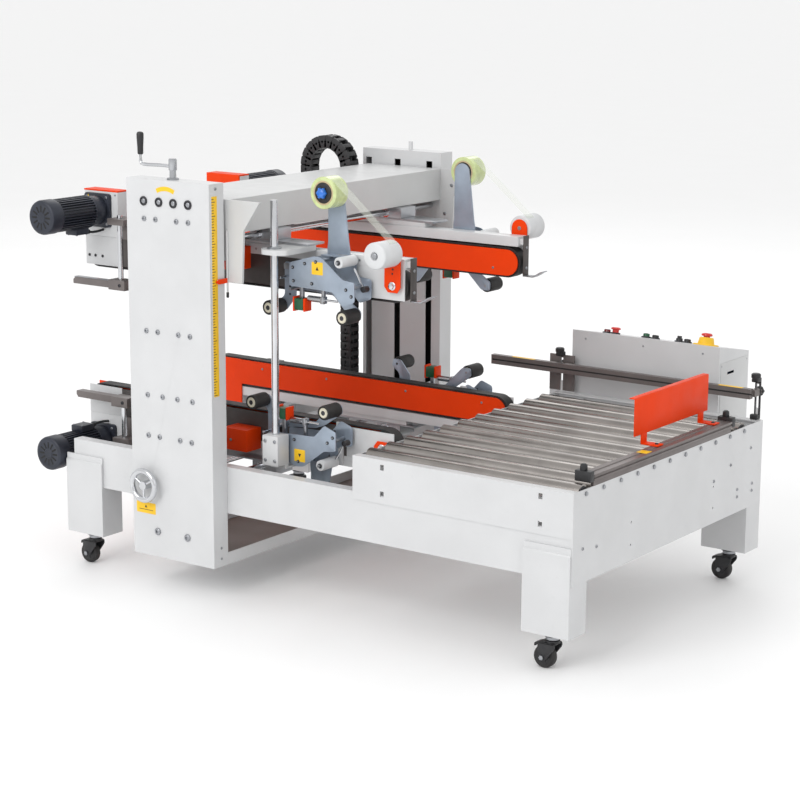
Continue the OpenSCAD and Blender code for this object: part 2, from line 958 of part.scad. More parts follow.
// Screws and bolts of the columns and of the end panel
module fasteners() {
    front = near_y - column_d;
    machine() color(steel) both_sides() {
        for (x = [-545, -472, -403, -333])
            rod_y(x, 1462, front - 6, front, 17);
        for (z = [1398, 985, 592])
            for (x = [-545, -490, -390, -334])
                rod_y(x, z, front - 4, front, 10);
        for (x = [-545, -472, -400, -327])
            rod_y(x, 745, front - 4, front, 10);
        for (x = [-508, -362])
            rod_y(x, 228, front - 6, front, 14);
    }
}

module table_roller_01() { table_roller(0); }
module table_roller_02() { table_roller(1); }
module table_roller_03() { table_roller(2); }
module table_roller_04() { table_roller(3); }
module table_roller_05() { table_roller(4); }
module table_roller_06() { table_roller(5); }
module table_roller_07() { table_roller(6); }
module table_roller_08() { table_roller(7); }
module table_roller_09() { table_roller(8); }
module table_roller_10() { table_roller(9); }
module table_roller_11() { table_roller(10); }

base_frame();
near_column();
far_column();
guide_shafts();
table_frame();
roller_axles();
control_console();
fasteners();
cross_beam();
cable_chain();
crank();
handwheel();
guide_bar();
pusher();
start_button();
stop_button();
emergency_stop();
table_roller_01();
table_roller_02();
table_roller_03();
table_roller_04();
table_roller_05();
table_roller_06();
table_roller_07();
table_roller_08();
table_roller_09();
table_roller_10();
table_roller_11();
caster_fork_near_right();
caster_fork_near_left();
caster_fork_far_right();
caster_fork_far_left();
caster_wheel_near_right();
caster_wheel_near_left();
caster_wheel_far_right();
caster_wheel_far_left();
near_lower_housing();
near_lower_belt();
near_lower_motor();
near_lower_head();
near_lower_arm();
near_lower_tape();
far_lower_housing();
far_lower_belt();
far_lower_motor();
far_lower_head();
far_lower_arm();
far_lower_tape();
near_upper_housing();
near_upper_belt();
near_upper_motor();
near_upper_head();
near_upper_arm();
near_upper_tape();
far_upper_housing();
far_upper_belt();
far_upper_motor();
far_upper_head();
far_upper_arm();
far_upper_tape();
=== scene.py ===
"""Looks of a corner and edge carton sealer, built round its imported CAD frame."""
from math import atan, cos, hypot, pi, radians, sin

import bmesh
import bpy
from mathutils import Matrix, Vector


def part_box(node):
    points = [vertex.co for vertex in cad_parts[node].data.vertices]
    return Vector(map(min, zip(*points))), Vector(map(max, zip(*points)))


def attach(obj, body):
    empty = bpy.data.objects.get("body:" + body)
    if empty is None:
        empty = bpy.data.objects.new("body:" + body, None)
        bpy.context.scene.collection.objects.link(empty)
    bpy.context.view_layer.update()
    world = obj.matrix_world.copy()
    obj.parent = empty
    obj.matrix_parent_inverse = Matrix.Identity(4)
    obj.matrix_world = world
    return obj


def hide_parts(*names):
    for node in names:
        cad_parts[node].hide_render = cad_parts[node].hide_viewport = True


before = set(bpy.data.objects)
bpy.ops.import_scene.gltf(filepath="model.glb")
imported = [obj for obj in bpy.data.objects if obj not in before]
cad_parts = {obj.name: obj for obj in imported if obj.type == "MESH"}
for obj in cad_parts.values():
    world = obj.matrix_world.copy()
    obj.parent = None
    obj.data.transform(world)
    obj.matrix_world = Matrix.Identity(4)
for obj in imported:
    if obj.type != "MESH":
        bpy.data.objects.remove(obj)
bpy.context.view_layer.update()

# ---------- layout, in millimetres, read off the frame ----------

COLUMN_LEFT = -630
COLUMN_RIGHT = COLUMN_LEFT + 395
COLUMN_D = 80
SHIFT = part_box("near_column")[0][0] * 1000 - COLUMN_LEFT
NEAR_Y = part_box("near_column")[1][1] * 1000
FAR_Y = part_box("far_column")[0][1] * 1000
FRONT_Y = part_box("near_column")[0][1] * 1000
COLUMN_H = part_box("near_column")[1][2] * 1000
END_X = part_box("table_frame")[1][0] * 1000 - SHIFT

# The rollers stand a little above the table's side panels
ROLLER_RISE = 15
TABLE_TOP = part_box("table_roller_01")[1][2] * 1000 - ROLLER_RISE

# Drive box of each sealing unit, with the gear motor's axis and the face it is bolted to
BOX_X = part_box("near_upper_housing")[0][0] * 1000 - SHIFT
BOX_RIGHT = BOX_X + 178
FACE = 64
MOTOR_X = BOX_X + 80
MOTOR_W = 226
MOTOR_LEN = 320

# Shafts that the units slide on
SHAFTS = (-560, -270)
SHAFT_W = 205

# Taping heads: the lower ones stand further left, on units with a shorter right end
HEAD_DX = {"upper": 0, "lower": -85}
END_CUT = {"upper": 0, "lower": 45}
HUB_X = 58
HUB_W = {"upper": 382, "lower": 318}

UNITS = [(side, level) for side in ("near", "far") for level in ("lower", "upper")]


def layout(p):
    """A point of the machine's layout, in mm, as a point of the frame in metres."""
    return Vector(((p[0] + SHIFT) / 1000, p[1] / 1000, p[2] / 1000))


def unit_place(side, level):
    """Place of a sealing unit: X, v outwards from its belt, w away from the carton."""
    low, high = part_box(f"{side}_{level}_housing")
    belt_low, belt_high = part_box(f"{side}_{level}_belt")
    y = high[1] if side == "near" else low[1]
    z = belt_low[2] if level == "upper" else belt_high[2]
    sy = -1 if side == "near" else 1
    sz = 1 if level == "upper" else -1
    return lambda p: Vector(((p[0] + SHIFT) / 1000, y + sy * p[1] / 1000, z + sz * p[2] / 1000))


def head_place(side, level):
    """Place of a unit's taping head, press rollers and tape roll."""
    base = unit_place(side, level)
    dx = HEAD_DX[level]
    return lambda p: base((p[0] + dx, p[1], p[2]))


# ---------- materials ----------


def surface(
    name, colour, rough, metal=0.0, vary=0.06, vary_scale=5.0, bump=0.1, bump_scale=500.0,
    stretch=(1, 1, 1), rough_vary=0.08, scuff=0.0, coat=0.0, spec=0.5, alpha=1.0,
):
    """Procedural paint, metal or plastic: mottled colour, uneven gloss, fine bump and scuffs."""
    m = bpy.data.materials.new(name)
    m.use_nodes = True
    t = m.node_tree
    n = t.nodes
    bsdf = n["Principled BSDF"]
    plain = {"Metallic": metal, "Coat Weight": coat, "Specular IOR Level": spec, "Alpha": alpha}
    for socket, value in plain.items():
        bsdf.inputs[socket].default_value = value
    coord = n.new("ShaderNodeTexCoord")
    mapping = n.new("ShaderNodeMapping")
    mapping.inputs["Scale"].default_value = stretch
    t.links.new(coord.outputs["Object"], mapping.inputs["Vector"])

    def noise(scale, detail, source):
        k = n.new("ShaderNodeTexNoise")
        k.inputs["Scale"].default_value = scale
        k.inputs["Detail"].default_value = detail
        t.links.new(source, k.inputs["Vector"])
        return k.outputs["Fac"]

    def span(value, a, b, lo, hi):
        k = n.new("ShaderNodeMapRange")
        for socket, limit in {"From Min": a, "From Max": b, "To Min": lo, "To Max": hi}.items():
            k.inputs[socket].default_value = limit
        t.links.new(value, k.inputs["Value"])
        return k.outputs["Result"]

    def mix(fac, a, b):
        k = n.new("ShaderNodeMix")
        k.data_type = "RGBA"
        t.links.new(fac, k.inputs["Factor"])
        for socket, value in (("A", a), ("B", b)):
            s = [i for i in k.inputs if i.name == socket and i.type == "RGBA"][0]
            if isinstance(value, tuple):
                s.default_value = (*value, 1)
            else:
                t.links.new(value, s)
        return [o for o in k.outputs if o.type == "RGBA"][0]

    cloud = noise(vary_scale, 5, coord.outputs["Object"])
    grain = noise(bump_scale, 3, mapping.outputs["Vector"])
    dark = tuple(c * (1 - vary) for c in colour)
    light = tuple(min(1, c * (1 + vary * 0.6)) for c in colour)
    out = mix(span(cloud, 0.35, 0.65, 0, 1), dark, light)
    if scuff:
        spots = noise(38, 8, coord.outputs["Object"])
        worn = tuple(c * 0.55 for c in colour)
        out = mix(span(spots, 0.66, 0.78, 0, scuff), out, worn)
    t.links.new(out, bsdf.inputs["Base Color"])
    smear = noise(14, 6, mapping.outputs["Vector"])
    t.links.new(
        span(smear, 0.3, 0.7, max(0.03, rough - rough_vary), rough + rough_vary),
        bsdf.inputs["Roughness"],
    )
    b = n.new("ShaderNodeBump")
    b.inputs["Strength"].default_value = bump
    b.inputs["Distance"].default_value = 0.001
    t.links.new(grain, b.inputs["Height"])
    t.links.new(b.outputs["Normal"], bsdf.inputs["Normal"])
    return m


MATERIALS = {
    "white": surface("white_paint", (0.585, 0.59, 0.597), 0.36, vary=0.035, scuff=0.10, coat=0.15),
    "beam": surface("beam_paint", (0.55, 0.555, 0.555), 0.40, vary=0.04, scuff=0.10, coat=0.1),
    "orange": surface("orange_paint", (0.80, 0.048, 0.001), 0.46, scuff=0.12, spec=0.15),
    "steel": surface("polished_steel", (0.44, 0.45, 0.47), 0.20, 1.0, vary=0.10, vary_scale=18, bump=0.05,
        bump_scale=260, stretch=(0.06, 1, 1), rough_vary=0.07),
    "rollers": surface("roller_steel", (0.29, 0.27, 0.255), 0.25, 1.0, vary=0.14, vary_scale=9, bump=0.06,
        bump_scale=300, stretch=(0.04, 1, 1), scuff=0.25),
    "chrome": surface("chrome", (0.62, 0.63, 0.65), 0.13, 1.0, vary_scale=20, bump=0.03, bump_scale=300,
        rough_vary=0.05),
    "bolt": surface("bolt_zinc", (0.36, 0.37, 0.39), 0.34, 1.0, vary=0.15, vary_scale=60, bump=0.15,
        bump_scale=900),
    "dark_bolt": surface("bolt_dark", (0.05, 0.05, 0.055), 0.42, 0.6, vary=0.2, vary_scale=60),
    "zinc": surface("zinc_plate", (0.33, 0.385, 0.46), 0.38, 0.55, vary=0.10, vary_scale=12, bump=0.06,
        bump_scale=420, scuff=0.15),
    "alu": surface("aluminium", (0.42, 0.43, 0.45), 0.36, 0.9, vary=0.08, vary_scale=16,
        stretch=(0.2, 1, 1)),
    "bar": surface("grey_bar", (0.17, 0.15, 0.145), 0.42, 0.45, vary=0.10, vary_scale=10, bump=0.07,
        bump_scale=400, stretch=(1, 0.1, 1), scuff=0.2),
    # Dark brownish grey: the dark end plate of the upper units, and painted shade on the units' outer
    # plates
    "dark_plate_and_shade": surface("grey_plate_and_painted_shade", (0.085, 0.075, 0.072), 0.5, 0.4, vary=0.2, vary_scale=12, scuff=0.3),
    "motor": surface("motor_paint", (0.020, 0.024, 0.037), 0.42, 0.1, vary=0.25, vary_scale=14, bump=0.25,
        bump_scale=350, scuff=0.2),
    "black": surface("black_plastic", (0.016, 0.016, 0.018), 0.45, vary=0.3, vary_scale=20, bump=0.15,
        bump_scale=700),
    "rubber": surface("black_rubber", (0.016, 0.015, 0.015), 0.62, vary=0.35, vary_scale=25, bump=0.3,
        bump_scale=420, scuff=0.3),
    "cream": surface("cream_plastic", (0.62, 0.58, 0.46), 0.45, vary=0.1, vary_scale=30),
    "roll_white": surface("roller_plastic", (0.62, 0.63, 0.64), 0.38, vary=0.05, vary_scale=20, bump=0.12,
        bump_scale=300, scuff=0.05),
    "tape": surface("adhesive_tape", (0.55, 0.63, 0.30), 0.22, vary=0.16, vary_scale=35, bump=0.2,
        bump_scale=320, stretch=(1, 5, 1), coat=0.5),
    "film": surface("tape_film", (0.80, 0.84, 0.74), 0.12, vary=0.05, vary_scale=30, alpha=0.18),
    "card": surface("cardboard_core", (0.50, 0.40, 0.24), 0.8, vary=0.1, vary_scale=60, bump=0.2),
    "blue": surface("blue_plastic", (0.02, 0.16, 0.62), 0.28, vary=0.1, vary_scale=40, bump=0.05,
        coat=0.4),
    "green": surface("green_plastic", (0.008, 0.085, 0.035), 0.35, vary=0.15, vary_scale=40),
    "red": surface("red_button", (0.62, 0.018, 0.012), 0.25, vary=0.08, vary_scale=40, bump=0.04,
        coat=0.4),
    "dark_red": surface("dark_red_lamp", (0.16, 0.008, 0.008), 0.2, vary=0.1, vary_scale=40, bump=0.04,
        coat=0.6),
    "yellow": surface("yellow_label", (0.86, 0.52, 0.012), 0.42, vary_scale=30, bump=0.05),
    # Brownish dark grey: painted shade of the base's trough floor, with scuff marks of wear
    "trough_shade": surface("trough_painted_shade", (0.17, 0.13, 0.115), 0.55, vary=0.15, vary_scale=7, scuff=0.3),
    # Near-black for slots, vents, pin holes and grooves: painted shade of their insides
    "hole_shade": surface("painted_gap_shade", (0.012, 0.012, 0.012), 0.8, vary=0.2, vary_scale=30),
}


# ---------- mesh building ----------


def rounded(points, radius, steps=5):
    """Closed outline with every corner turned into a short curve."""
    out = []
    for i, p in enumerate(points):
        corner = Vector(p)
        u = Vector(points[i - 1]) - corner
        w = Vector(points[(i + 1) % len(points)]) - corner
        cut = min(radius, u.length * 0.45, w.length * 0.45)
        u.normalize()
        w.normalize()
        for k in range(steps + 1):
            s = k / steps
            out.append(corner + u * cut * (1 - s) ** 2 + w * cut * s**2)
    return [(p.x, p.y) for p in out]


def circle_points(count, r):
    """Points spread evenly round a circle about the origin."""
    angles = [k * 2 * pi / count for k in range(count)]
    return [(r * cos(a), r * sin(a)) for a in angles]


def along(axis, h, u, w):
    """Point at h along an axis, and at (u, w) across it."""
    return {"x": (h, u, w), "y": (u, h, w), "z": (u, w, h)}[axis]


def about_y(x, z, angle):
    """Turn about an axis along Y through (x, z), for a solid drawn round the origin."""
    return Matrix.Translation((x, 0, z)) @ Matrix.Rotation(angle, 4, "Y")


def arc(cx, cz, r, start, end, steps=14):
    """Points of an arc, angles in degrees."""
    angles = [radians(start + (end - start) * k / steps) for k in range(steps + 1)]
    return [(cx + r * cos(a), cz + r * sin(a)) for a in angles]


class Build:
    """Collects solids in millimetres and turns them into one mesh object."""

    def __init__(self, place=layout):
        self.place = place
        self.bm = bmesh.new()
        self.mats = []

    def _slot(self, key):
        """Index of a material in the mesh, added when it is new."""
        if key not in self.mats:
            self.mats.append(key)
        return self.mats.index(key)

    def _join(self, part, key, turn=None):
        """Turns one solid, puts it in its place in the frame and adds it to the mesh."""
        index = self._slot(key)
        new = {}
        for v in part.verts:
            co = turn @ v.co if turn else v.co
            new[v] = self.bm.verts.new(self.place(co))
        for f in part.faces:
            face = self.bm.faces.new([new[v] for v in f.verts])
            face.material_index = index
        part.free()

    def box(self, key, low, high, bevel=1.5, turn=None):
        """Block between two corners, with bevelled edges."""
        part = bmesh.new()
        bmesh.ops.create_cube(part, size=1)
        size = [b - a for a, b in zip(low, high)]
        for v in part.verts:
            v.co = Vector([a + (c + 0.5) * s for a, c, s in zip(low, v.co, size)])
        self._bevel(part, part.edges[:], min(bevel, min(size) * 0.45))
        self._join(part, key, turn)

    def _bevel(self, part, edges, width):
        """Rounds off some edges of a solid."""
        if width > 0:
            bmesh.ops.bevel(
                part, geom=edges, offset=width, segments=2, profile=0.6, affect="EDGES", clamp_overlap=True,
            )

    def prism(self, key, axis, points, a, b, bevel=1.0, turn=None):
        """Outline drawn across an axis, extruded along it from a to b."""
        part = bmesh.new()
        low = [part.verts.new(along(axis, a, *p)) for p in points]
        high = [part.verts.new(along(axis, b, *p)) for p in points]
        count = len(points)
        caps = [part.faces.new(low), part.faces.new(high)]
        for i in range(count):
            k = (i + 1) % count
            part.faces.new([low[i], low[k], high[k], high[i]])
        rim = list(dict.fromkeys(edge for cap in caps for edge in cap.edges))
        self._bevel(part, rim, min(bevel, abs(b - a) * 0.4))
        self._join(part, key, turn)

    def lathe(self, key, axis, centre, profile, seg=48, turn=None):
        """Turned solid: (distance along the axis, radius) pairs, with flat ends."""
        part = bmesh.new()
        c0, c1 = centre
        rings = []
        for h, r in profile:
            turned = [(0, 0)] if r < 0.01 else circle_points(seg, r)
            rings.append([part.verts.new(along(axis, h, c0 + u, c1 + w)) for u, w in turned])
        for first, second in zip(rings, rings[1:]):
            for k in range(seg):
                j = (k + 1) % seg
                corners = (
                    first[k % len(first)], first[j % len(first)],
                    second[j % len(second)], second[k % len(second)],
                )
                unique = list(dict.fromkeys(corners))
                if len(unique) > 2:
                    part.faces.new(unique)
        for ring in (rings[0], rings[-1]):
            if len(ring) > 1 and profile[0] != profile[-1]:
                part.faces.new(ring)
        if profile[0] == profile[-1]:
            bmesh.ops.remove_doubles(part, verts=part.verts[:], dist=0.0005)
        self._join(part, key, turn)

    def ring(self, key, axis, centre, profile, seg=32, turn=None):
        """Turned ring: the profile goes round its cross-section."""
        self.lathe(key, axis, centre, profile + profile[:1], seg, turn)

    def rod(self, key, axis, centre, a, b, r, chamfer=1.0, seg=32, turn=None):
        """Plain round bar with chamfered ends."""
        c = min(chamfer, r * 0.5, abs(b - a) * 0.4)
        self.lathe(key, axis, centre, [(a, r - c), (a + c, r), (b - c, r), (b, r - c)], seg, turn)

    def tube(self, key, path, r, seg=10):
        """Round bar along a list of points."""
        part = bmesh.new()
        pts = [Vector(p) for p in path]
        rings = []
        for i, p in enumerate(pts):
            d = (pts[min(i + 1, len(pts) - 1)] - pts[max(i - 1, 0)]).normalized()
            side = d.cross(Vector((0, 0, 1)))
            if side.length < 0.1:
                side = d.cross(Vector((0, 1, 0)))
            side.normalize()
            up = side.cross(d)
            rings.append([part.verts.new(p + side * u + up * w) for u, w in circle_points(seg, r)])
        for first, second in zip(rings, rings[1:]):
            for k in range(seg):
                j = (k + 1) % seg
                part.faces.new([first[k], first[j], second[j], second[k]])
        part.faces.new(rings[0])
        part.faces.new(rings[-1])
        self._join(part, key)

    def screw(self, axis, centre, face, out, r=6, key="bolt"):
        """Round screw head with a driver recess, standing on a face."""
        h = out * r * 0.55
        profile = [
            (face, r), (face + h * 0.6, r * 0.96), (face + h, r * 0.72), (face + h, r * 0.40),
            (face + h * 0.4, r * 0.36), (face + h * 0.4, 0),
        ]
        self.lathe(key, axis, centre, profile, 20)

    def done_unit(self, side, level, piece, body, slot, *replaced):
        """Makes a sealing unit's piece, named after the unit."""
        unit = f"{side}_{level}"
        self.done(f"{unit}_{piece}", f"{unit}_{body}", slot, *(f"{unit}_{node}" for node in replaced))

    def done(self, name, body, slot, *replaced):
        """Makes the mesh object, which rides on a body and may stand for CAD nodes."""
        bmesh.ops.recalc_face_normals(self.bm, faces=self.bm.faces[:])
        mesh = bpy.data.meshes.new(name)
        self.bm.to_mesh(mesh)
        self.bm.free()
        for key in self.mats:
            mesh.materials.append(MATERIALS[key])
        mesh.shade_smooth()
        mesh.set_sharp_from_angle(angle=radians(34))
        piece = bpy.data.objects.new(name, mesh)
        bpy.context.scene.collection.objects.link(piece)
        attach(piece, body)
        if replaced:
            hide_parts(*replaced)


# ---------- CAD nodes that stay ----------


def paint(node, key, soften=0.0):
    """Gives a CAD node a material and, for sheet metal, slightly rounded edges."""
    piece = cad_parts[node]
    for s in piece.material_slots:
        s.material = MATERIALS[key]
    if soften:
        weld = piece.modifiers.new("weld", "WELD")
        weld.merge_threshold = 0.00002
        edge = piece.modifiers.new("edge", "BEVEL")
        edge.width = soften
        edge.segments = 2
        edge.limit_method = "ANGLE"
        edge.angle_limit = radians(50)
        edge.use_clamp_overlap = True


def paint_nodes():
    """Materials of the CAD nodes that stay as they are."""
    for node in ("base_frame", "near_column", "far_column"):
        paint(node, "white", 0.0012)
    paint("table_frame", "white")
    paint("control_console", "white", 0.002)
    paint("cross_beam", "beam", 0.0015)
    paint("guide_shafts", "chrome")
    paint("roller_axles", "bolt")
    paint("handwheel", "chrome")
    paint("guide_bar", "bar", 0.001)
    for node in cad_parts:
        if node.startswith("table_roller"):
            paint(node, "rollers")
        if node.endswith("_belt"):
            paint(node, "rubber")


# ---------- columns and beam ----------


def fasteners():
    """Bolt and screw heads on the outer faces of both columns."""
    b = Build()
    for y, out in ((FRONT_Y, -1), (FAR_Y + COLUMN_D, 1)):
        rim = [
            (y, 17), (y + out * 4, 17), (y + out * 6, 15), (y + out * 6, 11), (y + out, 10.5), (y + out, 0),
        ]
        core = [(y + out, 9), (y + out * 4, 9), (y + out * 5.5, 6), (y + out * 5.5, 0)]
        for x in (-545, -472, -403, -333):
            b.lathe("dark_bolt", "y", (x, 1462), rim, 32)
            b.lathe("bolt", "y", (x, 1462), core, 20)
        for z in (1398, 985, 592):
            for x in (-545, -490, -390, -334):
                b.screw("y", (x, z), y, out, 10)
        for x in (-545, -472, -400, -327):
            b.screw("y", (x, 745), y, out, 10)
        for x in (-508, -362):
            b.screw("y", (x, 228), y, out, 14)
    b.done("fastener_heads", "frame", "plain_steel", "fasteners")


def column_labels():
    """Plain yellow labels of the near column and the height scale on its side, without digits."""
    b = Build()
    y = FRONT_Y
    outer = arc(-441, 1420, 100, 117, 63)
    inner = arc(-441, 1420, 84, 63, 117)
    b.prism("yellow", "y", outer + inner, y - 0.6, y, 0.1)
    label = rounded([(-612, 290), (-518, 290), (-518, 332), (-612, 332)], 3)
    b.prism("yellow", "y", label, y - 0.6, y, 0.1)
    b.prism("black", "y", [(-600, 303), (-530, 303), (-530, 305), (-600, 305)], y - 0.8, y - 0.5, 0)
    b.prism("black", "y", [(-572, 312), (-560, 312), (-566, 323)], y - 0.8, y - 0.5, 0)
    right = COLUMN_RIGHT
    strip_y = -829
    b.box("yellow", (right, strip_y, 772), (right + 0.8, -800, 1497), 0.2)
    for k in range(72):
        z = 776 + k * 10
        tick = 18 if k % 5 == 0 else 11
        b.box("black", (right + 0.7, strip_y, z), (right + 1.0, strip_y + tick, z + 2.6), 0)
    b.screw("x", (-808, 1523), right, 1, 6)
    for z in (160, 200):
        b.screw("x", (-800, z), right, 1, 5)
    b.done("column_labels", "frame", "white_paint")


def column_shade_sheets():
    """Painted shade: dark sheets behind the columns' slots and a brownish sheet on the trough's floor."""
    b = Build()
    for y in (FRONT_Y + 6, FAR_Y + COLUMN_D - 6):
        # Near-black sheets inside both columns: painted shade seen through the slots
        b.box("hole_shade", (COLUMN_LEFT + 8, y - 0.5, 500), (COLUMN_RIGHT - 8, y + 0.5, COLUMN_H - 8), 0)
    # Brownish sheet on the trough's floor: painted shade of the trough, with scuffs
    b.box("trough_shade", (COLUMN_LEFT + 5, NEAR_Y + 2, 134.5), (COLUMN_RIGHT - 5, FAR_Y - 2, 137), 0.5)
    b.done("column_shade_sheets", "frame", "white_paint")


def beam_details():
    """Polished shafts, height pointer and screws of the cross beam."""
    b = Build()
    beam_front = -223
    for x in SHAFTS:
        b.rod("chrome", "y", (x, 1330), NEAR_Y + 22.5, FAR_Y - 22.5, 12.3)
    y0, y1 = NEAR_Y - 46, NEAR_Y + 24
    pointer = rounded([(y0 - 8, 1190), (y0 + 4, 1181), (y1, 1182), (y1, 1198), (y0 + 4, 1199)], 2)
    b.prism("orange", "x", pointer, -231.4, -226.6, 0.5)
    b.lathe("black", "z", (-229, NEAR_Y + 9), [(1127, 3), (1128, 5), (1146, 5), (1147, 3.6)], 16)
    for y, out in ((NEAR_Y + 11.9, -1), (FAR_Y - 11.9, 1)):
        inner = y - out * 10.2
        for x, h in ((-540, 1440), (-400, 1440), (-240, 1440), (-167, 1417), (-200, 1300)):
            b.screw("y", (x, h), inner, -out, 7)
    b.screw("x", (NEAR_Y + 60, 1440), beam_front, 1, 5)
    b.done("beam_details", "lift", "beam_paint")


def crank():
    """Crank with its black grip, and the lift screw under it."""
    b = Build()
    x, y, top = -438, NEAR_Y - 40, COLUMN_H
    b.lathe("steel", "z", (x, y), [
        (134.4, 9), (136, 10), (top - 6, 10), (top - 5, 12), (top + 34, 12), (top + 34, 14),
        (top + 36, 15), (top + 72, 15), (top + 76, 12),
    ])
    collar = [(top, 22), (top + 5, 22), (top + 7, 20), (top + 7, 12.2), (top, 12.2)]
    b.ring("bolt", "z", (x, y), collar, 48)
    arm = top + 48
    b.tube("chrome", [
        (x, y, arm), (x - 60, y, arm + 1), (x - 120, y, arm - 1), (x - 143, y, arm),
        (x - 151, y, arm + 3), (x - 155, y, arm + 10), (x - 155, y, arm + 40),
    ], 6.5, 16)
    b.lathe("black", "z", (x - 155, y), [
        (arm + 34, 8), (arm + 37, 10.5), (arm + 60, 11), (arm + 95, 13), (arm + 108, 13),
        (arm + 114, 10.5), (arm + 116, 5),
    ], 32)
    b.done("crank_handle", "crank", "polished_steel", "crank")


CARRIER_OUTER = 135
CARRIER_INNER = 72
LINK_PITCH = 34


def carrier_links():
    """Each link's place and turn in degrees, then the carrier's Y range and the arch's centre X."""
    low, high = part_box("cable_chain")
    mid = (CARRIER_OUTER + CARRIER_INNER) / 2
    cx = (low[0] * 1000 - SHIFT) + CARRIER_OUTER
    cz = high[2] * 1000 - CARRIER_OUTER
    bottom = low[2] * 1000
    links = []
    steps = int((cz - bottom) / LINK_PITCH)
    for k in range(steps):
        links.append((cx + mid, bottom + (k + 0.5) * (cz - bottom) / steps, 90))
    for k in range(10):
        a = (k + 0.5) * 18
        links.append((cx + mid * cos(radians(a)), cz + mid * sin(radians(a)), 90 + a))
    for k in range(2):
        links.append((cx - mid, cz - (k + 0.5) * 33, 270))
    return links, (low[1] * 1000, high[1] * 1000), cx


def cable_chain():
    """Cable carrier of linked plates with three cables inside."""
    links, (y0, y1), cx = carrier_links()
    b = Build()
    half = 26
    plate = rounded([(-19, -half), (19, -half), (19, half), (-19, half)], 7)
    for x, z, angle in links:
        turn = about_y(x, z, -radians(angle))
        for a, c in ((y0, y0 + 7), (y1 - 7, y1)):
            b.prism("black", "y", plate, a, c, 1.2, turn)
        for s in (-1, 1):
            edge = s * (half - 3)
            b.box("black", (-9, y0 + 6, edge - 2.5), (9, y1 - 6, edge + 2.5), 1, turn)
        # Near-black discs at the pivots: painted shade of the pin holes
        for a, c in ((y0, y0 + 1.2), (y1 - 1.2, y1)):
            b.rod("hole_shade", "y", (0, 0), a, c, 5, 0.1, 16, turn)
            for s in (-1, 1):
                b.rod("bolt", "y", (s * 12, 0), a, c, 2.4, 0.2, 12, turn)
    for off, key in ((-12, "black"), (-2, "motor"), (9, "black")):
        spread = off * 0.8
        route = []
        for x, z, angle in links:
            a = radians(angle - 90)
            route.append((x + spread * cos(a), (y0 + y1) / 2 + off, z + spread * sin(a)))
        b.tube(key, route, 5)
    b.box("bolt", (cx - CARRIER_INNER, y0, 1400), (cx + CARRIER_INNER, y1, 1406), 1)
    b.box("bolt", (cx + CARRIER_OUTER - 5, y0, 1420), (cx + CARRIER_OUTER + 5, y1, 1450), 1)
    b.done("cable_carrier", "lift", "black_plastic", "cable_chain")


# ---------- sealing units ----------


def belt_guard(b, idler):
    """Orange inner face of a unit: round at the idler, square at the drive box."""
    outline = [(BOX_X, 5), (BOX_RIGHT, 5), (BOX_RIGHT + 2, 8)]
    outline += arc(idler, 58, 50, -90, 90, 24)
    outline += [(BOX_RIGHT + 2, 108), (BOX_RIGHT, 112), (BOX_RIGHT, 305), (BOX_X, 305)]
    b.prism("orange", "y", outline, 0, 5, 1.2)
    for x in (-900, -560, -160, idler - 60):
        b.screw("y", (x, 34), 0.3, -1, 5)


def unit_case(b, side, end):
    """White channel behind the belt and the drive box at its left, with their screws."""
    # The outer plate is dark grey up to here and white beyond: the dark stretch is painted shade
    shade_end = 100 if side == "near" else BOX_RIGHT + 20
    b.box("white", (BOX_RIGHT - 0.5, 5, 122), (end, 60.5, 160), 1.5)
    b.box("dark_plate_and_shade", (BOX_RIGHT - 0.5, 60, 10), (shade_end, FACE, 121.5), 1)
    b.box("white", (shade_end, 60, 10), (end, FACE, 121.5), 1)
    b.box("white", (BOX_RIGHT - 0.5, 60, 121.5), (end, FACE, 160), 1)
    b.box("white", (BOX_X + 4, 5, 122), (BOX_RIGHT, FACE, 299.5), 2.5)
    b.box("white", (BOX_X + 4, 60, 8), (BOX_RIGHT, FACE, 122), 1)
    b.box("orange", (BOX_X, 4, 299), (BOX_RIGHT, FACE, 305), 1.2)
    for x in (BOX_X + 22, BOX_X + 54, BOX_X + 92):
        b.screw("y", (x, 44), FACE, 1, 6, "dark_bolt")
    for x in (BOX_X + 16, BOX_RIGHT - 12):
        b.screw("y", (x, 288), FACE, 1, 4)
    for x in range(-960, int(end) - 20, 160):
        b.screw("y", (x, 141), FACE, 1, 4.5)


def junction_box(b, level):
    """Orange box on the channel's outer side."""
    right = {"upper": -345, "lower": -305}[level]
    b.box("orange", (-420, FACE, 66), (right, 150, 150), 3)
    b.screw("y", (-382, 110), 150, 1, 6)


def saddles(b, level):
    """Plate over the channel and the blocks that slide on the two shafts."""
    right = {"upper": -40, "lower": -125}[level]
    b.box("alu", (-600, 12, 178), (right, 112, 186), 1)
    b.box("white", (-500, 12, 159.5), (right - 40, 60, 178), 1)
    for x, to_left, to_right in ((SHAFTS[0], 32, 32), (SHAFTS[1], 40, 75)):
        b.box("alu", (x - to_left, 12, 186), (x + to_right, 112, 228), 2)
        if level == "lower":
            for dx in (-20, 20):
                for v in (24, 100):
                    b.screw("z", (x + dx, v), 228, 1, 4, "dark_bolt")
        for v, out in ((12, -1), (112, 1)):
            bush = [(v - out, 19), (v + out * 0.8, 19), (v + out * 0.8, 13), (v - out, 13)]
            b.ring("chrome", "y", (x, SHAFT_W), bush)
    if level == "lower":
        b.box("alu", (-580, 40, 227.5), (-516, 90, 276), 2)


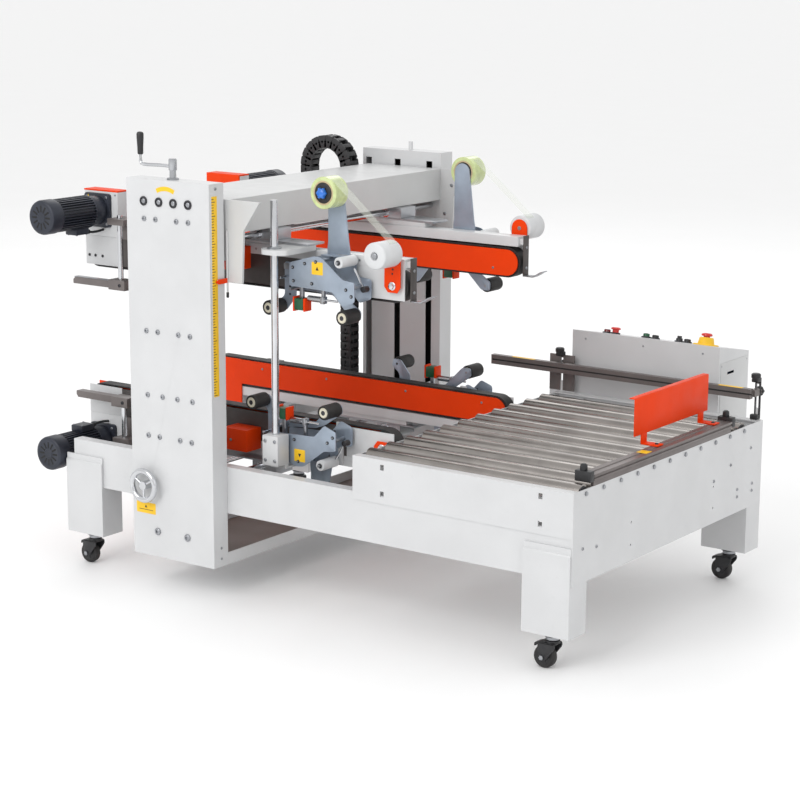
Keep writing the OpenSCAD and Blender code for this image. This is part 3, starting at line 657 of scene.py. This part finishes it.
def outfeed_clamp(b, level):
    """Grey guide plate at the unit's left end, on its short chrome post."""
    low = {"upper": -62, "lower": 24}[level]
    b.box("bar", (-990, FACE, 120), (-905, 70, 210), 1)
    b.box("bar", (-990, 70, 186), (-905, 152, 210), 2)
    b.rod("chrome", "z", (-948, 125), low + 10, 224, 11)
    b.box("bar", (-990, 95, low - 4), (-905, 155, low + 36), 3)
    plate = rounded([
        (-1190, low), (-989, low), (-989, low + 26), (-1180, low + 26), (-1190, low + 16),
    ], 2)
    b.prism("bar", "y", plate, 105, 140, 1.5)
    b.box("bolt", (-1190, 110, low + 25), (-1000, 135, low + 27.5), 0.5)
    b.screw("y", (-930, low + 16), 155, 1, 7, "dark_bolt")


def infeed_lip(b):
    """End plate and bent lip at the right end of an upper unit."""
    b.box("dark_plate_and_shade", (373.5, 18, 8), (378.5, 52, 164), 1)
    b.box("white", (357, 18, 130), (374, 52, 152), 1)
    lip = [
        (377, 8), (419, 8), (436, 17), (452, 27), (463, 31.5), (461, 35), (449, 31), (433, 21),
        (418, 12), (377, 12),
    ]
    b.prism("bolt", "y", lip, 18, 52, 0.6)
    for w in (118, 40):
        b.screw("x", (35, w), 378.5, 1, 6)


TIE_ROD = (-106, 221)


def tie_rod_guide(b):
    """Collar of the upright rod, on the near upper unit."""
    x, v = TIE_ROD
    bracket = rounded([
        (x - 44, FACE), (x + 72, FACE), (x + 72, v + 20), (x + 40, v + 49), (x - 20, v + 49),
        (x - 44, v + 20),
    ], 10)
    b.prism("white", "z", bracket, 160, 178, 1.5)
    b.ring("bolt", "z", (x, v), [(160, 26), (182, 26), (185, 23), (185, 14.4), (160, 14.4)], 48)


def tie_rod_foot(b):
    """Upright rod and the block that holds it, on the near lower unit."""
    x, v = TIE_ROD
    b.box("white", (x - 36, v - 31, 38), (x + 36, v + 35, 150), 3)
    b.box("white", (x - 36, v - 31, 148), (x + 34, v - 11, 168), 2)
    b.box("white", (x - 40, FACE, 160), (x + 34, v - 30, 168), 1)
    b.rod("chrome", "z", (x, v), -822, 70, 14, 2, 40)
    for w in (58, 130):
        b.screw("y", (x + 22, w), v + 35, 1, 7)
        b.screw("y", (x - 22, w), v + 35, 1, 7)


def housing(side, level):
    """Body of a sealing unit."""
    b = Build(unit_place(side, level))
    belt_guard(b, 310 - END_CUT[level])
    unit_case(b, side, 358 - END_CUT[level])
    junction_box(b, level)
    saddles(b, level)
    outfeed_clamp(b, level)
    if level == "upper":
        infeed_lip(b)
    else:
        b.box("white", (60, FACE, -4), (88, 75, 150), 1.5)
    if side == "near":
        tie_rod = {"upper": tie_rod_guide, "lower": tie_rod_foot}[level]
        tie_rod(b)
    b.done_unit(side, level, "case", "unit", "white_paint", "housing")


def motor(side, level):
    """Gear motor: flange, gear case, finned body, fan cowl, terminal box and its lead."""
    b = Build(unit_place(side, level))
    x, w, f = MOTOR_X, MOTOR_W, FACE
    flange = rounded([(x - 66, w - 66), (x + 66, w - 66), (x + 66, w + 66), (x - 66, w + 66)], 14)
    b.prism("motor", "y", flange, f, f + 14, 1.5)
    gear_case = [(f + 12, 54), (f + 20, 58), (f + 62, 58), (f + 70, 55), (f + 76, 52)]
    b.lathe("motor", "y", (x, w), gear_case, 48)
    for k in range(4):
        a = radians(45 + 90 * k)
        b.screw("y", (x + 72.2 * cos(a), w + 72.2 * sin(a)), f + 14, 1, 6)
    fins = []
    count = 36
    step = 2 * pi / count
    for k in range(count):
        for part, r in ((0, 64), (0.34, 64), (0.46, 56), (0.88, 56)):
            a = (k + part) * step
            fins.append((x + r * cos(a), w + r * sin(a)))
    b.prism("motor", "y", fins, f + 76, f + 260, 0)
    for at in (f + 72, f + 254):
        b.lathe("motor", "y", (x, w), [(at, 60), (at + 1.5, 64), (at + 7, 64), (at + 8, 60)], 48)
    end = f + MOTOR_LEN
    b.lathe("motor", "y", (x, w), [
        (f + 261, 63), (f + 263, 66.5), (end - 12, 66.5), (end - 5, 64), (end - 1.5, 58), (end - 1, 50),
        (end - 2, 48), (end - 2, 20), (end, 18), (end, 0),
    ], 56)
    # Fan cowl vents as near-black slots: painted shade of the openings
    for k in range(12):
        b.box("hole_shade", (22, end - 3, -3.2), (46, end - 1.4, 3.2), 0.4, about_y(x, w, k * pi / 6))
    b.box("motor", (x - 30, f + 90, w - 84), (x + 30, f + 160, w - 58), 5)
    for dx in (-22, 22):
        for v in (f + 99, f + 151):
            b.screw("z", (x + dx, v), w - 84, -1, 4)
    lead_x = x + 20
    b.tube("black", [
        (lead_x, f, w - 76), (lead_x, f + 30, w - 80), (lead_x, f + 60, w - 80), (lead_x, f + 92, w - 76),
    ], 5)
    b.lathe("black", "y", (lead_x, w - 76), [(f + 80, 6), (f + 82, 9), (f + 90, 9), (f + 92, 8)], 16)
    b.prism("yellow", "y", [(x - 52, w + 46), (x - 36, w + 46), (x - 44, w + 60)], f + 13.5, f + 14.6, 0.1)
    b.done_unit(side, level, "gearmotor", "unit", "motor_paint", "motor")


HEAD = [(-71, 42), (-71, 126), (43, 158), (75, 154), (169, 84), (222, 78), (222, 7), (170, -12), (124, 36)]
SPACERS = ((-55, 110), (0, 128), (50, 138), (185, 50))
PLATE_BOLTS = SPACERS + ((-52, 61), (32, 58), (209, 28))


def head_plates(b):
    """Two side plates of a taping head on their spacers, with a plain yellow label."""
    for v in (76, 176):
        b.prism("zinc", "y", rounded(HEAD, 9), v, v + 4, 0.8)
    for p in PLATE_BOLTS:
        if p in SPACERS:
            b.rod("bolt", "y", p, 80, 176, 7)
        b.screw("y", p, 180, 1, 6.5, "dark_bolt")
        b.lathe("bolt", "y", p, [(183, 3.4), (184.2, 3), (184.2, 0)], 12)
    b.prism("yellow", "y", rounded([(32, 92), (82, 92), (82, 138), (32, 138)], 3), 180, 180.7, 0.1)
    b.prism("black", "y", [(50, 108), (64, 108), (57, 122)], 180.6, 181.0, 0)
    b.box("bolt", (-60, FACE, 60), (140, 76, 110), 2)
    b.box("bolt", (25, 71, 118), (112, 76, 156), 1)


def tape_post(b, level):
    """Flat post with a flanged foot and the tape roll's axle."""
    hub = (HUB_X, HUB_W[level])
    left = [(19, 150), (19, 176), (24, 200), (hub[0] - 34, hub[1])]
    top = arc(hub[0], hub[1], 34, 180, 0, 16)
    right = [(hub[0] + 34, hub[1]), (114, 200), (119, 176), (119, 150)]
    b.prism("zinc", "y", left + top[1:-1] + right, 65, 71, 1)
    b.box("zinc", (12, 64.5, 148), (126, 100, 153), 1)
    b.rod("bolt", "y", hub, 70, 149, 12)


def small_roller(b):
    """Small white roller of a head, with its clip."""
    centre = (146, 142)
    b.lathe("roll_white", "y", centre, [(82, 17), (84, 20), (170, 20), (173, 18), (173, 8)])
    b.rod("bolt", "y", centre, 80, 186, 5)
    b.lathe("dark_bolt", "y", centre, [(173.5, 9), (177, 9), (178, 7)], 20)
    b.prism("zinc", "y", rounded([(106, 100), (154, 92), (158, 150), (136, 154)], 8), 76.2, 79.8, 0.6)


def head_blocks(b):
    """Green block, its small cylinder and the knife guard between the press rollers."""
    b.box("green", (-62, 120, -48), (-22, 165, -6), 3)
    b.box("orange", (-70, 122, -54), (-63, 163, 0), 2)
    b.box("orange", (-22, 122, -52), (-15, 163, -4), 2)
    b.rod("steel", "x", (142, -4), -14, 66, 11, 2)
    b.rod("chrome", "x", (142, -4), 60, 120, 4)
    b.box("bolt", (48, 130, -18), (64, 154, 8), 2)
    b.box("bolt", (-50, 136, -10), (-34, 148, 60), 1.5)
    b.box("bolt", (50, 136, 4), (62, 148, 60), 1.5)
    b.box("dark_bolt", (150, 94, 22), (158, 170, 31), 1)
    b.tube("chrome", [(185, 130, 120), (205, 132, 92), (224, 134, 58), (232, 134, 50)], 3.5)
    b.rod("black", "y", (236, 52), 120, 150, 11, 2)


def head(side, level):
    """Fixed parts of a taping head."""
    b = Build(head_place(side, level))
    head_plates(b)
    tape_post(b, level)
    small_roller(b)
    head_blocks(b)
    b.done_unit(side, level, "head_plates", "unit", "zinc_plate", "head")


def film(b, roll, roller):
    """Tape drawn from the top of the roll over the side roller."""
    drop = (roller[0] - roll[0], roller[1] - roll[1])
    size = hypot(*drop)
    out = (-drop[1] / size, drop[0] / size)

    def beside(centre, gap):
        return (centre[0] + out[0] * gap, centre[1] + out[1] * gap)

    strip = [beside(roll, 58.2), beside(roller, 48.2), beside(roller, 48.5), beside(roll, 58.5)]
    b.prism("film", "y", strip, 90, 138, 0)


def side_roller(side, level):
    """Big white roller on its orange bracket, with the tape film above it."""
    b = Build(unit_place(side, level))
    x, w = 317 - END_CUT[level], 183
    bracket = [(x - 36, 60), (x - 20, 40), (x + 20, 40), (x + 34, 60)] + arc(x, w, 34, 0, 180, 18)
    b.prism("orange", "y", bracket, 77, 82, 1)
    b.box("bolt", (x - 16, FACE, 60), (x + 24, 78, 92), 2)
    b.lathe("chrome", "y", (x, 64), [(82, 15), (85, 15), (86, 13), (86, 0)], 24)
    b.prism("chrome", "y", [(x + u, 64 + v) for u, v in circle_points(6, 11)], 85.5, 94, 1)
    for p in ((x, 108), (x + 2, 124)):
        b.screw("y", p, 82, 1, 3.6, "dark_bolt")
    film(b, (HUB_X + HEAD_DX[level], HUB_W[level]), (x, w))
    b.rod("bolt", "y", (x, w), 76, 193, 8)
    b.lathe("roll_white", "y", (x, w), [
        (84, 42), (86, 47), (89, 48), (185, 48), (188, 46), (190, 43), (190, 16), (186, 14), (186, 8),
    ], 56)
    b.lathe("bolt", "y", (x, w), [(186, 12), (192, 11), (194, 8), (194, 0)], 20)
    b.done_unit(side, level, "side_roller", "unit", "zinc_plate")


def arm(side, level):
    """Two rubber press rollers on their linked plates, which give way to the carton."""
    b = Build(head_place(side, level))
    tyre = [
        (90, 24), (92, 26.4), (95, 27), (167, 27), (170, 26.4), (172, 24), (172, 20), (170, 19),
        (92, 19), (90, 20),
    ]
    core = [(91, 19), (170.5, 19), (173, 17), (173, 9), (91, 9)]
    for p in ((-178, -52), (160, -56)):
        b.ring("rubber", "y", p, tyre, 48)
        b.ring("cream", "y", p, core)
        b.lathe("dark_bolt", "y", p, [(90, 9), (173, 9), (174, 6), (174, 0)], 20)
        b.rod("bolt", "y", p, 83, 173, 6)
    bar = rounded([
        (-165, 110), (-165, -14), (-202, -42), (-196, -72), (-160, -70), (-114, -14), (-114, 110),
    ], 8)
    link = rounded([
        (-117, 40), (-117, 16), (60, 6), (142, -74), (180, -74), (182, -42), (104, 12), (60, 28), (-75, 40),
    ], 8)
    b.prism("zinc", "y", bar, 83, 88.9, 0.8)
    b.prism("zinc", "y", link, 83.1, 89, 0.8)
    b.lathe("bolt", "y", (-75, 28), [(83, 11), (112, 11), (114, 9), (114, 6), (172, 6)], 24)
    b.box("bolt", (-163, 89, 84), (-116, 97, 106), 1.5)
    b.rod("chrome", "y", (-140, 60), 89, 150, 5)
    for p in ((-140, 96), (-140, 20), (-140, -8), (20, 20), (112, -14)):
        b.screw("y", p, 89, 1, 4.5, "dark_bolt")
    b.done_unit(side, level, "press_rollers", "arm", "black_rubber", "arm")


def tape(side, level):
    """Tape roll on its black core holder, with the blue tightening knob."""
    b = Build(head_place(side, level))
    c = (HUB_X, HUB_W[level])
    wound = [(73, 44), (73, 56.5), (74.5, 58), (143.5, 58), (145, 56.5), (145, 44)]
    holder = [(73, 12.2), (73, 37.6), (144, 37.6), (147, 36), (148, 33), (148, 12.2)]
    b.ring("tape", "y", c, wound, 72)
    b.ring("card", "y", c, [(72.6, 38), (72.6, 43.8), (145.3, 43.8), (145.3, 38)], 56)
    b.ring("black", "y", c, holder, 48)
    b.lathe("blue", "y", c, [(149.4, 0), (149.4, 17), (158, 17.5), (164, 15), (167, 9), (167, 0)], 32)
    lobe = [(150, 0), (150, 4), (152, 5), (160, 5), (163, 3), (163, 0)]
    for k in range(6):
        turn = about_y(*c, k * pi / 3)
        b.box("motor", (18, 147.4, -3), (32, 149.4, 3), 0.8, turn)
        b.lathe("blue", "y", (16, 0), lobe, 14, turn)
    b.ring("blue", "y", c, [(147.5, 15), (149.6, 15), (149.6, 12.4), (147.5, 12.4)], 24)
    b.done_unit(side, level, "tape_roll", "tape", "adhesive_tape", "tape")


# ---------- console ----------

CONSOLE_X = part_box("control_console")[0][0] * 1000 - SHIFT
CONSOLE_Y = 638
CONSOLE_W = 652
CONSOLE_D = 246
CONSOLE_FRONT_Z = 877
CONSOLE_REAR_Z = 830
SLOPE = atan((CONSOLE_FRONT_Z - CONSOLE_REAR_Z) / CONSOLE_D)

# Places along the console's top, from its left end
LAMP_AT = 86
STOP_AT = 124
START_AT = 264
SWITCHES_AT = (305, 411, 447)
ESTOP_AT = 528


def on_console(x):
    """Turns a solid's own axes on to the console's sloping top."""
    middle_z = (CONSOLE_FRONT_Z + CONSOLE_REAR_Z) / 2
    origin = (CONSOLE_X + x, CONSOLE_Y + CONSOLE_D / 2, middle_z)
    return Matrix.Translation(origin) @ Matrix.Rotation(-SLOPE, 4, "X")


def console_fittings():
    """Lamp, switches, button rings and plates of the console."""
    b = Build()
    bezel = [(-1, 19), (3, 19), (5, 17), (5, 14), (-1, 14)]
    collar = [(-1, 20), (4, 20), (6, 18), (6, 13.6), (-1, 13.6)]
    estop_base = [(-1, 50), (3, 50), (5, 48), (5, 33), (28, 28), (31, 25), (31, 13.6), (-1, 13.6)]
    for x in (LAMP_AT, *SWITCHES_AT):
        place = on_console(x)
        key = "dark_red" if x == LAMP_AT else "black"
        b.ring("dark_bolt", "z", (0, 0), bezel, 32, place)
        b.lathe(key, "z", (0, 0), [(0, 13.5), (12, 13.5), (15, 11.5), (16, 0)], 32, place)
    b.box("black", (-5, -12, 15), (5, 12, 24), 2, on_console(SWITCHES_AT[1]))
    for x in (STOP_AT, START_AT):
        b.ring("dark_bolt", "z", (0, 0), collar, 32, on_console(x))
    b.ring("yellow", "z", (0, 0), estop_base, 48, on_console(ESTOP_AT))
    right = CONSOLE_X + CONSOLE_W
    for y in (CONSOLE_Y + 18, CONSOLE_Y + 228):
        for z in (545, 800):
            b.screw("x", (y, z), right, 1, 4)
    b.box("roll_white", (right, CONSOLE_Y + 50, 742), (right + 1.2, CONSOLE_Y + 150, 792), 0.3)
    b.box("blue", (right + 0.8, CONSOLE_Y + 66, 762), (right + 1.5, CONSOLE_Y + 120, 772), 0.1)
    b.box("beam", (right, CONSOLE_Y + 12, 536), (right + 1.5, CONSOLE_Y + 234, 812), 0.6)
    for k in range(3):
        b.screw("y", (CONSOLE_X + 60 + k * 260, 845), CONSOLE_Y, -1, 4)
    b.done("console_fittings", "frame", "black_plastic")


def start_cap():
    """Flat green start button."""
    b = Build()
    place = on_console(START_AT)
    b.lathe("green", "z", (0, 0), [(6, 13), (15, 13), (17.5, 11.5), (18, 0)], 32, place)
    b.lathe("black", "z", (0, 0), [(16.5, 6), (18.4, 5), (18.4, 0)], 20, place)
    b.done("start_cap", "start_button", "green_button", "start_button")


def stop_mushroom():
    """Red stop button."""
    b = Build()
    profile = [(6, 13), (17, 13), (18, 19), (21, 20), (25, 18), (27.5, 12), (28, 0)]
    b.lathe("red", "z", (0, 0), profile, 40, on_console(STOP_AT))
    b.done("stop_mushroom", "stop_button", "red_button", "stop_button")


def estop_mushroom():
    """Red emergency stop button with eight grips round its rim."""
    b = Build()
    place = on_console(ESTOP_AT)
    profile = [(8, 13), (35, 13), (36, 20), (38, 22), (43, 21.5), (47, 17), (48, 8), (48, 0)]
    b.lathe("red", "z", (0, 0), profile, 40, place)
    for k in range(8):
        turn = place @ Matrix.Rotation(k * pi / 4, 4, "Z")
        b.box("red", (19, -2, 38), (22.0, 2, 44), 0.8, turn)
    b.done("estop_mushroom", "emergency_stop", "red_button", "emergency_stop")


# ---------- guide bar, table end and pusher ----------

# Posts of the guide bar: left edge, right edge, middle of the slot, colour
POSTS = ((300, 412, 356, "bar"), (1204, 1226, 1215, "black"))
POST_TOP = 776.4


def guide_details():
    """Labels, groove and clamping knobs of the guide bar; the groove is a strip of painted shade."""
    b = Build()
    low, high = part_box("guide_bar")
    x0, x1 = low[0] * 1000 - SHIFT, high[0] * 1000 - SHIFT
    y0, top = low[1] * 1000, high[2] * 1000
    for a, c in ((158, 262), (1080, 1180)):
        b.box("yellow", (a, y0 + 3, top), (c, y0 + 21, top + 0.7), 0.1)
    # Groove as a near-black strip: painted shade
    b.box("hole_shade", (x0 + 6, y0 - 0.1, top - 22), (x1 - 6, y0 + 0.4, top - 16), 0)
    z = top - 19
    y = FAR_Y + 10.4
    for post in POSTS:
        x = post[2]
        b.lathe("black", "y", (x, z), [(y, 10), (y + 4, 15), (y + 14, 17), (y + 17, 14), (y + 17, 0)], 24)
        for k in range(6):
            b.box("black", (13, y + 4, -4), (19, y + 15, 4), 2, about_y(x, z, k * pi / 3))
    b.done("guide_bar_details", "guide_bar", "grey_bar")


def post_fittings():
    """Covers and knobs of the slotted posts, dark strip and screws of the table's end panel."""
    b = Build()
    for x in (330, 382):
        for z in (585, 612):
            b.screw("y", (x, z), FAR_Y + 10, 1, 5)
    y = FAR_Y + 4.1
    knob = [(788, 14), (792, 18), (804, 18), (808, 14), (808, 0)]
    for left, right, slot, key in POSTS:
        b.box(key, (left - 0.4, y - 1, 632), (slot - 5.2, y + 6.4, POST_TOP), 0.3)
        b.box(key, (slot + 5.2, y - 1, 632), (right + 0.4, y + 6.4, POST_TOP), 0.3)
        b.box(key, (slot - 5.4, y - 1, 766), (slot + 5.4, y + 6.4, POST_TOP), 0.3)
        b.box("black", (slot - 14, FAR_Y - 24, 774), (slot + 12, FAR_Y + 12, 790), 4)
        b.lathe("black", "z", (slot, FAR_Y - 14), knob, 24)
    b.box("black", (1196, FAR_Y - 18, TABLE_TOP), (1226, FAR_Y + 2, TABLE_TOP + 20), 4)
    b.box("bar", (1231.6, NEAR_Y + 122, TABLE_TOP), (1241.8, NEAR_Y + 1104, TABLE_TOP + 17), 0.5)
    for y, z in ((NEAR_Y + 60, 430), (NEAR_Y + 150, 418), (FAR_Y - 380, 470), (FAR_Y - 250, 505),
                 (FAR_Y - 90, 540), (FAR_Y - 70, 400), (FAR_Y - 70, 372), (FAR_Y - 190, 400),
                 (FAR_Y - 190, 372)):
        b.screw("x", (y, z), END_X, 1, 6)
    b.done("post_fittings", "frame", "plain_steel")


PUSHER_X = END_X - 50
PUSHER_W = 54
PUSHER_Z = 648
PUSHER_TOP = PUSHER_Z + 22
PUSHER_CLAMP = 26
PLATE_X = END_X - 90


def pusher_bar(b, y0, y1):
    """Grooved bar across the table with a clamp and a knob at each end."""
    x, z, top = PUSHER_X, PUSHER_Z, PUSHER_TOP
    right = x + PUSHER_W
    profile = [
        (x, z), (right, z), (right, z + 7), (x + 50, z + 9), (x + 50, z + 13), (right, z + 15),
        (right, top), (x + 32, top), (x + 30, top - 3), (x + 24, top - 3), (x + 22, top), (x, top),
        (x, z + 15), (x + 4, z + 13), (x + 4, z + 9), (x, z + 7),
    ]
    knob = [(top + 12, 11), (top + 16, 13), (top + 32, 12), (top + 36, 7), (top + 36, 0)]
    b.prism("bar", "y", profile, y0, y1, 0.6)
    for a in (y0 - PUSHER_CLAMP, y1):
        middle = a + PUSHER_CLAMP / 2
        b.box("black", (x - 8, a, z - 2), (right, a + PUSHER_CLAMP, top + 14), 4)
        b.lathe("black", "z", (x + 20, middle), knob, 20)
        b.screw("x", (middle, z + 14), x - 8, -1, 5, "bolt")
    b.box("yellow", (x + 6, y0 + 360, top), (x + 46, y0 + 400, top + 0.7), 0.1)


def pusher_plate(b, y0):
    """Upright orange plate on two bent feet."""
    x, plate, top = PUSHER_X, PLATE_X, PUSHER_TOP
    a, c = y0 + 420, y0 + 960
    b.box("orange", (plate, a, 706), (plate + 4, c, 842), 1)
    b.box("orange", (plate - 20, a, 838), (plate + 3, c, 842), 1)
    for y in (y0 + 470, y0 + 890):
        b.box("orange", (plate, y, top), (plate + 4, y + 40, 708), 1)
        b.box("orange", (plate, y, top), (x + 30, y + 40, top + 5), 1)
        b.screw("z", (x + 14, y + 20), top + 5, 1, 7, "dark_bolt")
        for h in (726, 790):
            b.screw("x", (y + 20, h), plate, -1, 5)


def pusher():
    """Cross bar of the table's end with its orange plate."""
    b = Build()
    low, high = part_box("pusher")
    y0, y1 = low[1] * 1000 + PUSHER_CLAMP, high[1] * 1000 - PUSHER_CLAMP
    pusher_bar(b, y0, y1)
    pusher_plate(b, y0)
    b.done("pusher_bar", "pusher", "grey_bar", "pusher")


def roller_ends():
    """Dark bearing ring at both ends of every table roller."""
    b = Build()
    for i in range(11):
        low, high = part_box(f"table_roller_{i + 1:02d}")
        y, z = (low[1] + high[1]) * 500, (low[2] + high[2]) * 500
        for x, out in ((low[0] * 1000 - SHIFT, -1), (high[0] * 1000 - SHIFT, 1)):
            face = x + out * 2.4
            b.ring("dark_bolt", "x", (y, z), [(x, 24), (face, 22), (face, 7), (x, 7)])
    b.done("roller_end_rings", "frame", "plain_steel")


# ---------- casters ----------


def caster_wheel(name, cx, cy, r):
    """Rubber tyre on a black hub with six ribs on each side."""
    b = Build()
    b.ring("rubber", "y", (cx, r), [
        (cy - 15, 26), (cy - 16, 33), (cy - 13, 38), (cy - 8, 40), (cy + 8, 40), (cy + 13, 38),
        (cy + 16, 33), (cy + 15, 26), (cy + 15, 5.1), (cy - 15, 5.1),
    ], 56)
    hub = ((14, 25), (15.6, 24), (15.2, 12), (18, 10), (18, 5.1), (14, 5.1))
    for out in (-1, 1):
        b.ring("black", "y", (cx, r), [(cy + out * depth, radius) for depth, radius in hub], 40)
        for k in range(6):
            inner, outer = sorted((cy + out * 15, cy + out * 16.6))
            b.box("black", (10, inner, -2), (24, outer, 2), 0.6, about_y(cx, r, k * pi / 3))
    b.done(f"caster_tyre_{name}", f"caster_wheel_{name}", "black_rubber", f"caster_wheel_{name}")


def caster_fork(name, cx, cy, r):
    """Swivel plate, bearing, fork, axle with its nuts and mudguard of a caster."""
    b = Build()
    px = cx + 28
    b.lathe("black", "z", (px, cy), [(118, 30), (119, 32), (127, 32), (129.7, 30)], 40)
    b.lathe("bolt", "z", (px, cy), [(104, 20), (106, 24), (116, 26), (118, 24)], 40)
    b.lathe("black", "z", (px, cy), [(90, 22), (92, 24), (102, 25), (104, 20)], 40)
    side_plate = rounded([
        (cx - 13, 32), (cx + 13, 30), (cx + 50, 78), (cx + 50, 94), (cx - 14, 94), (cx - 18, 70),
    ], 9)
    for a in (cy - 26, cy + 22):
        b.prism("black", "y", side_plate, a, a + 4, 1)
    b.box("black", (cx - 14, cy - 26, 88), (cx + 48, cy + 26, 94), 2)
    b.rod("bolt", "y", (cx, r), cy - 26, cy + 26, 5, 1)
    nut = [(cx + u, r + v) for u, v in circle_points(6, 9)]
    for out in (-1, 1):
        b.prism("bolt", "y", nut, *sorted((cy + out * 26, cy + out * 31)), 0.8)
    guard = rounded([
        (cx - 16, 84), (cx - 16, 92), (cx - 34, 86), (cx - 36, 74), (cx - 30, 74), (cx - 27, 80),
    ], 3)
    b.prism("black", "y", guard, cy - 17, cy + 17, 1)
    b.done(f"caster_yoke_{name}", f"caster_fork_{name}", "caster_black", f"caster_fork_{name}")


def casters():
    """The four swivel casters."""
    for name in ("near_right", "near_left", "far_right", "far_left"):
        low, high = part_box(f"caster_wheel_{name}")
        cx = (low[0] + high[0]) * 500 - SHIFT
        cy = (low[1] + high[1]) * 500
        r = (high[2] - low[2]) * 500
        caster_wheel(name, cx, cy, r)
        caster_fork(name, cx, cy, r)


# ---------- stage ----------


def camera():
    """Camera at the photograph's viewing angle."""
    az, el, roll = radians(35.75), radians(12.31), radians(0.23)
    forward = Vector((-sin(az) * cos(el), cos(az) * cos(el), -sin(el)))
    right = Vector((cos(az), sin(az), 0))
    up = right.cross(forward)
    r = cos(roll) * right + sin(roll) * up
    u = -sin(roll) * right + cos(roll) * up
    data = bpy.data.cameras.new("camera")
    data.lens = 96.1
    data.sensor_width = 36
    data.shift_x = 0.0034
    data.shift_y = 0.0061
    data.clip_end = 200
    cam = bpy.data.objects.new("camera", data)
    place = Matrix((r, u, -forward)).transposed().to_4x4()
    place.translation = Vector((4.675, -6.556, 2.391))
    cam.matrix_world = place
    bpy.context.scene.collection.objects.link(cam)
    bpy.context.scene.camera = cam


def area(name, at, size, energy):
    """Square soft light that faces the machine."""
    data = bpy.data.lights.new(name, "AREA")
    data.shape = "SQUARE"
    data.size = size
    data.energy = energy
    lamp = bpy.data.objects.new(name, data)
    lamp.location = at
    lamp.rotation_euler = (Vector((0, 0, 0.8)) - Vector(at)).to_track_quat("-Z", "Y").to_euler()
    bpy.context.scene.collection.objects.link(lamp)


def studio():
    """Plain pale floor, three soft lights and a white surround."""
    mesh = bpy.data.meshes.new("floor")
    s = 90
    mesh.from_pydata([(-s, -s, 0), (s, -s, 0), (s, s, 0), (-s, s, 0)], [], [(0, 1, 2, 3)])
    floor = bpy.data.objects.new("floor", mesh)
    finish = surface("floor_paint", (0.95, 0.95, 0.95), 0.6, vary=0.005, vary_scale=2, bump=0.01)
    mesh.materials.append(finish)
    bpy.context.scene.collection.objects.link(floor)
    area("key", (-0.5, -8.0, 5.6), 5, 300)
    area("fill", (8.0, -3.0, 4.0), 5, 30)
    area("back", (-4.0, 6.0, 6.5), 5, 100)
    world = bpy.data.worlds.new("studio")
    world.use_nodes = True
    background = world.node_tree.nodes["Background"]
    background.inputs["Color"].default_value = (1, 1, 1, 1)
    background.inputs["Strength"].default_value = 0.95
    bpy.context.scene.world = world
    bpy.context.scene.view_settings.view_transform = "Standard"


paint_nodes()
fasteners()
column_labels()
column_shade_sheets()
beam_details()
crank()
cable_chain()
for side, level in UNITS:
    housing(side, level)
    motor(side, level)
    head(side, level)
    side_roller(side, level)
    arm(side, level)
    tape(side, level)
console_fittings()
start_cap()
stop_mushroom()
estop_mushroom()
guide_details()
post_fittings()
pusher()
roller_ends()
casters()
camera()
studio()
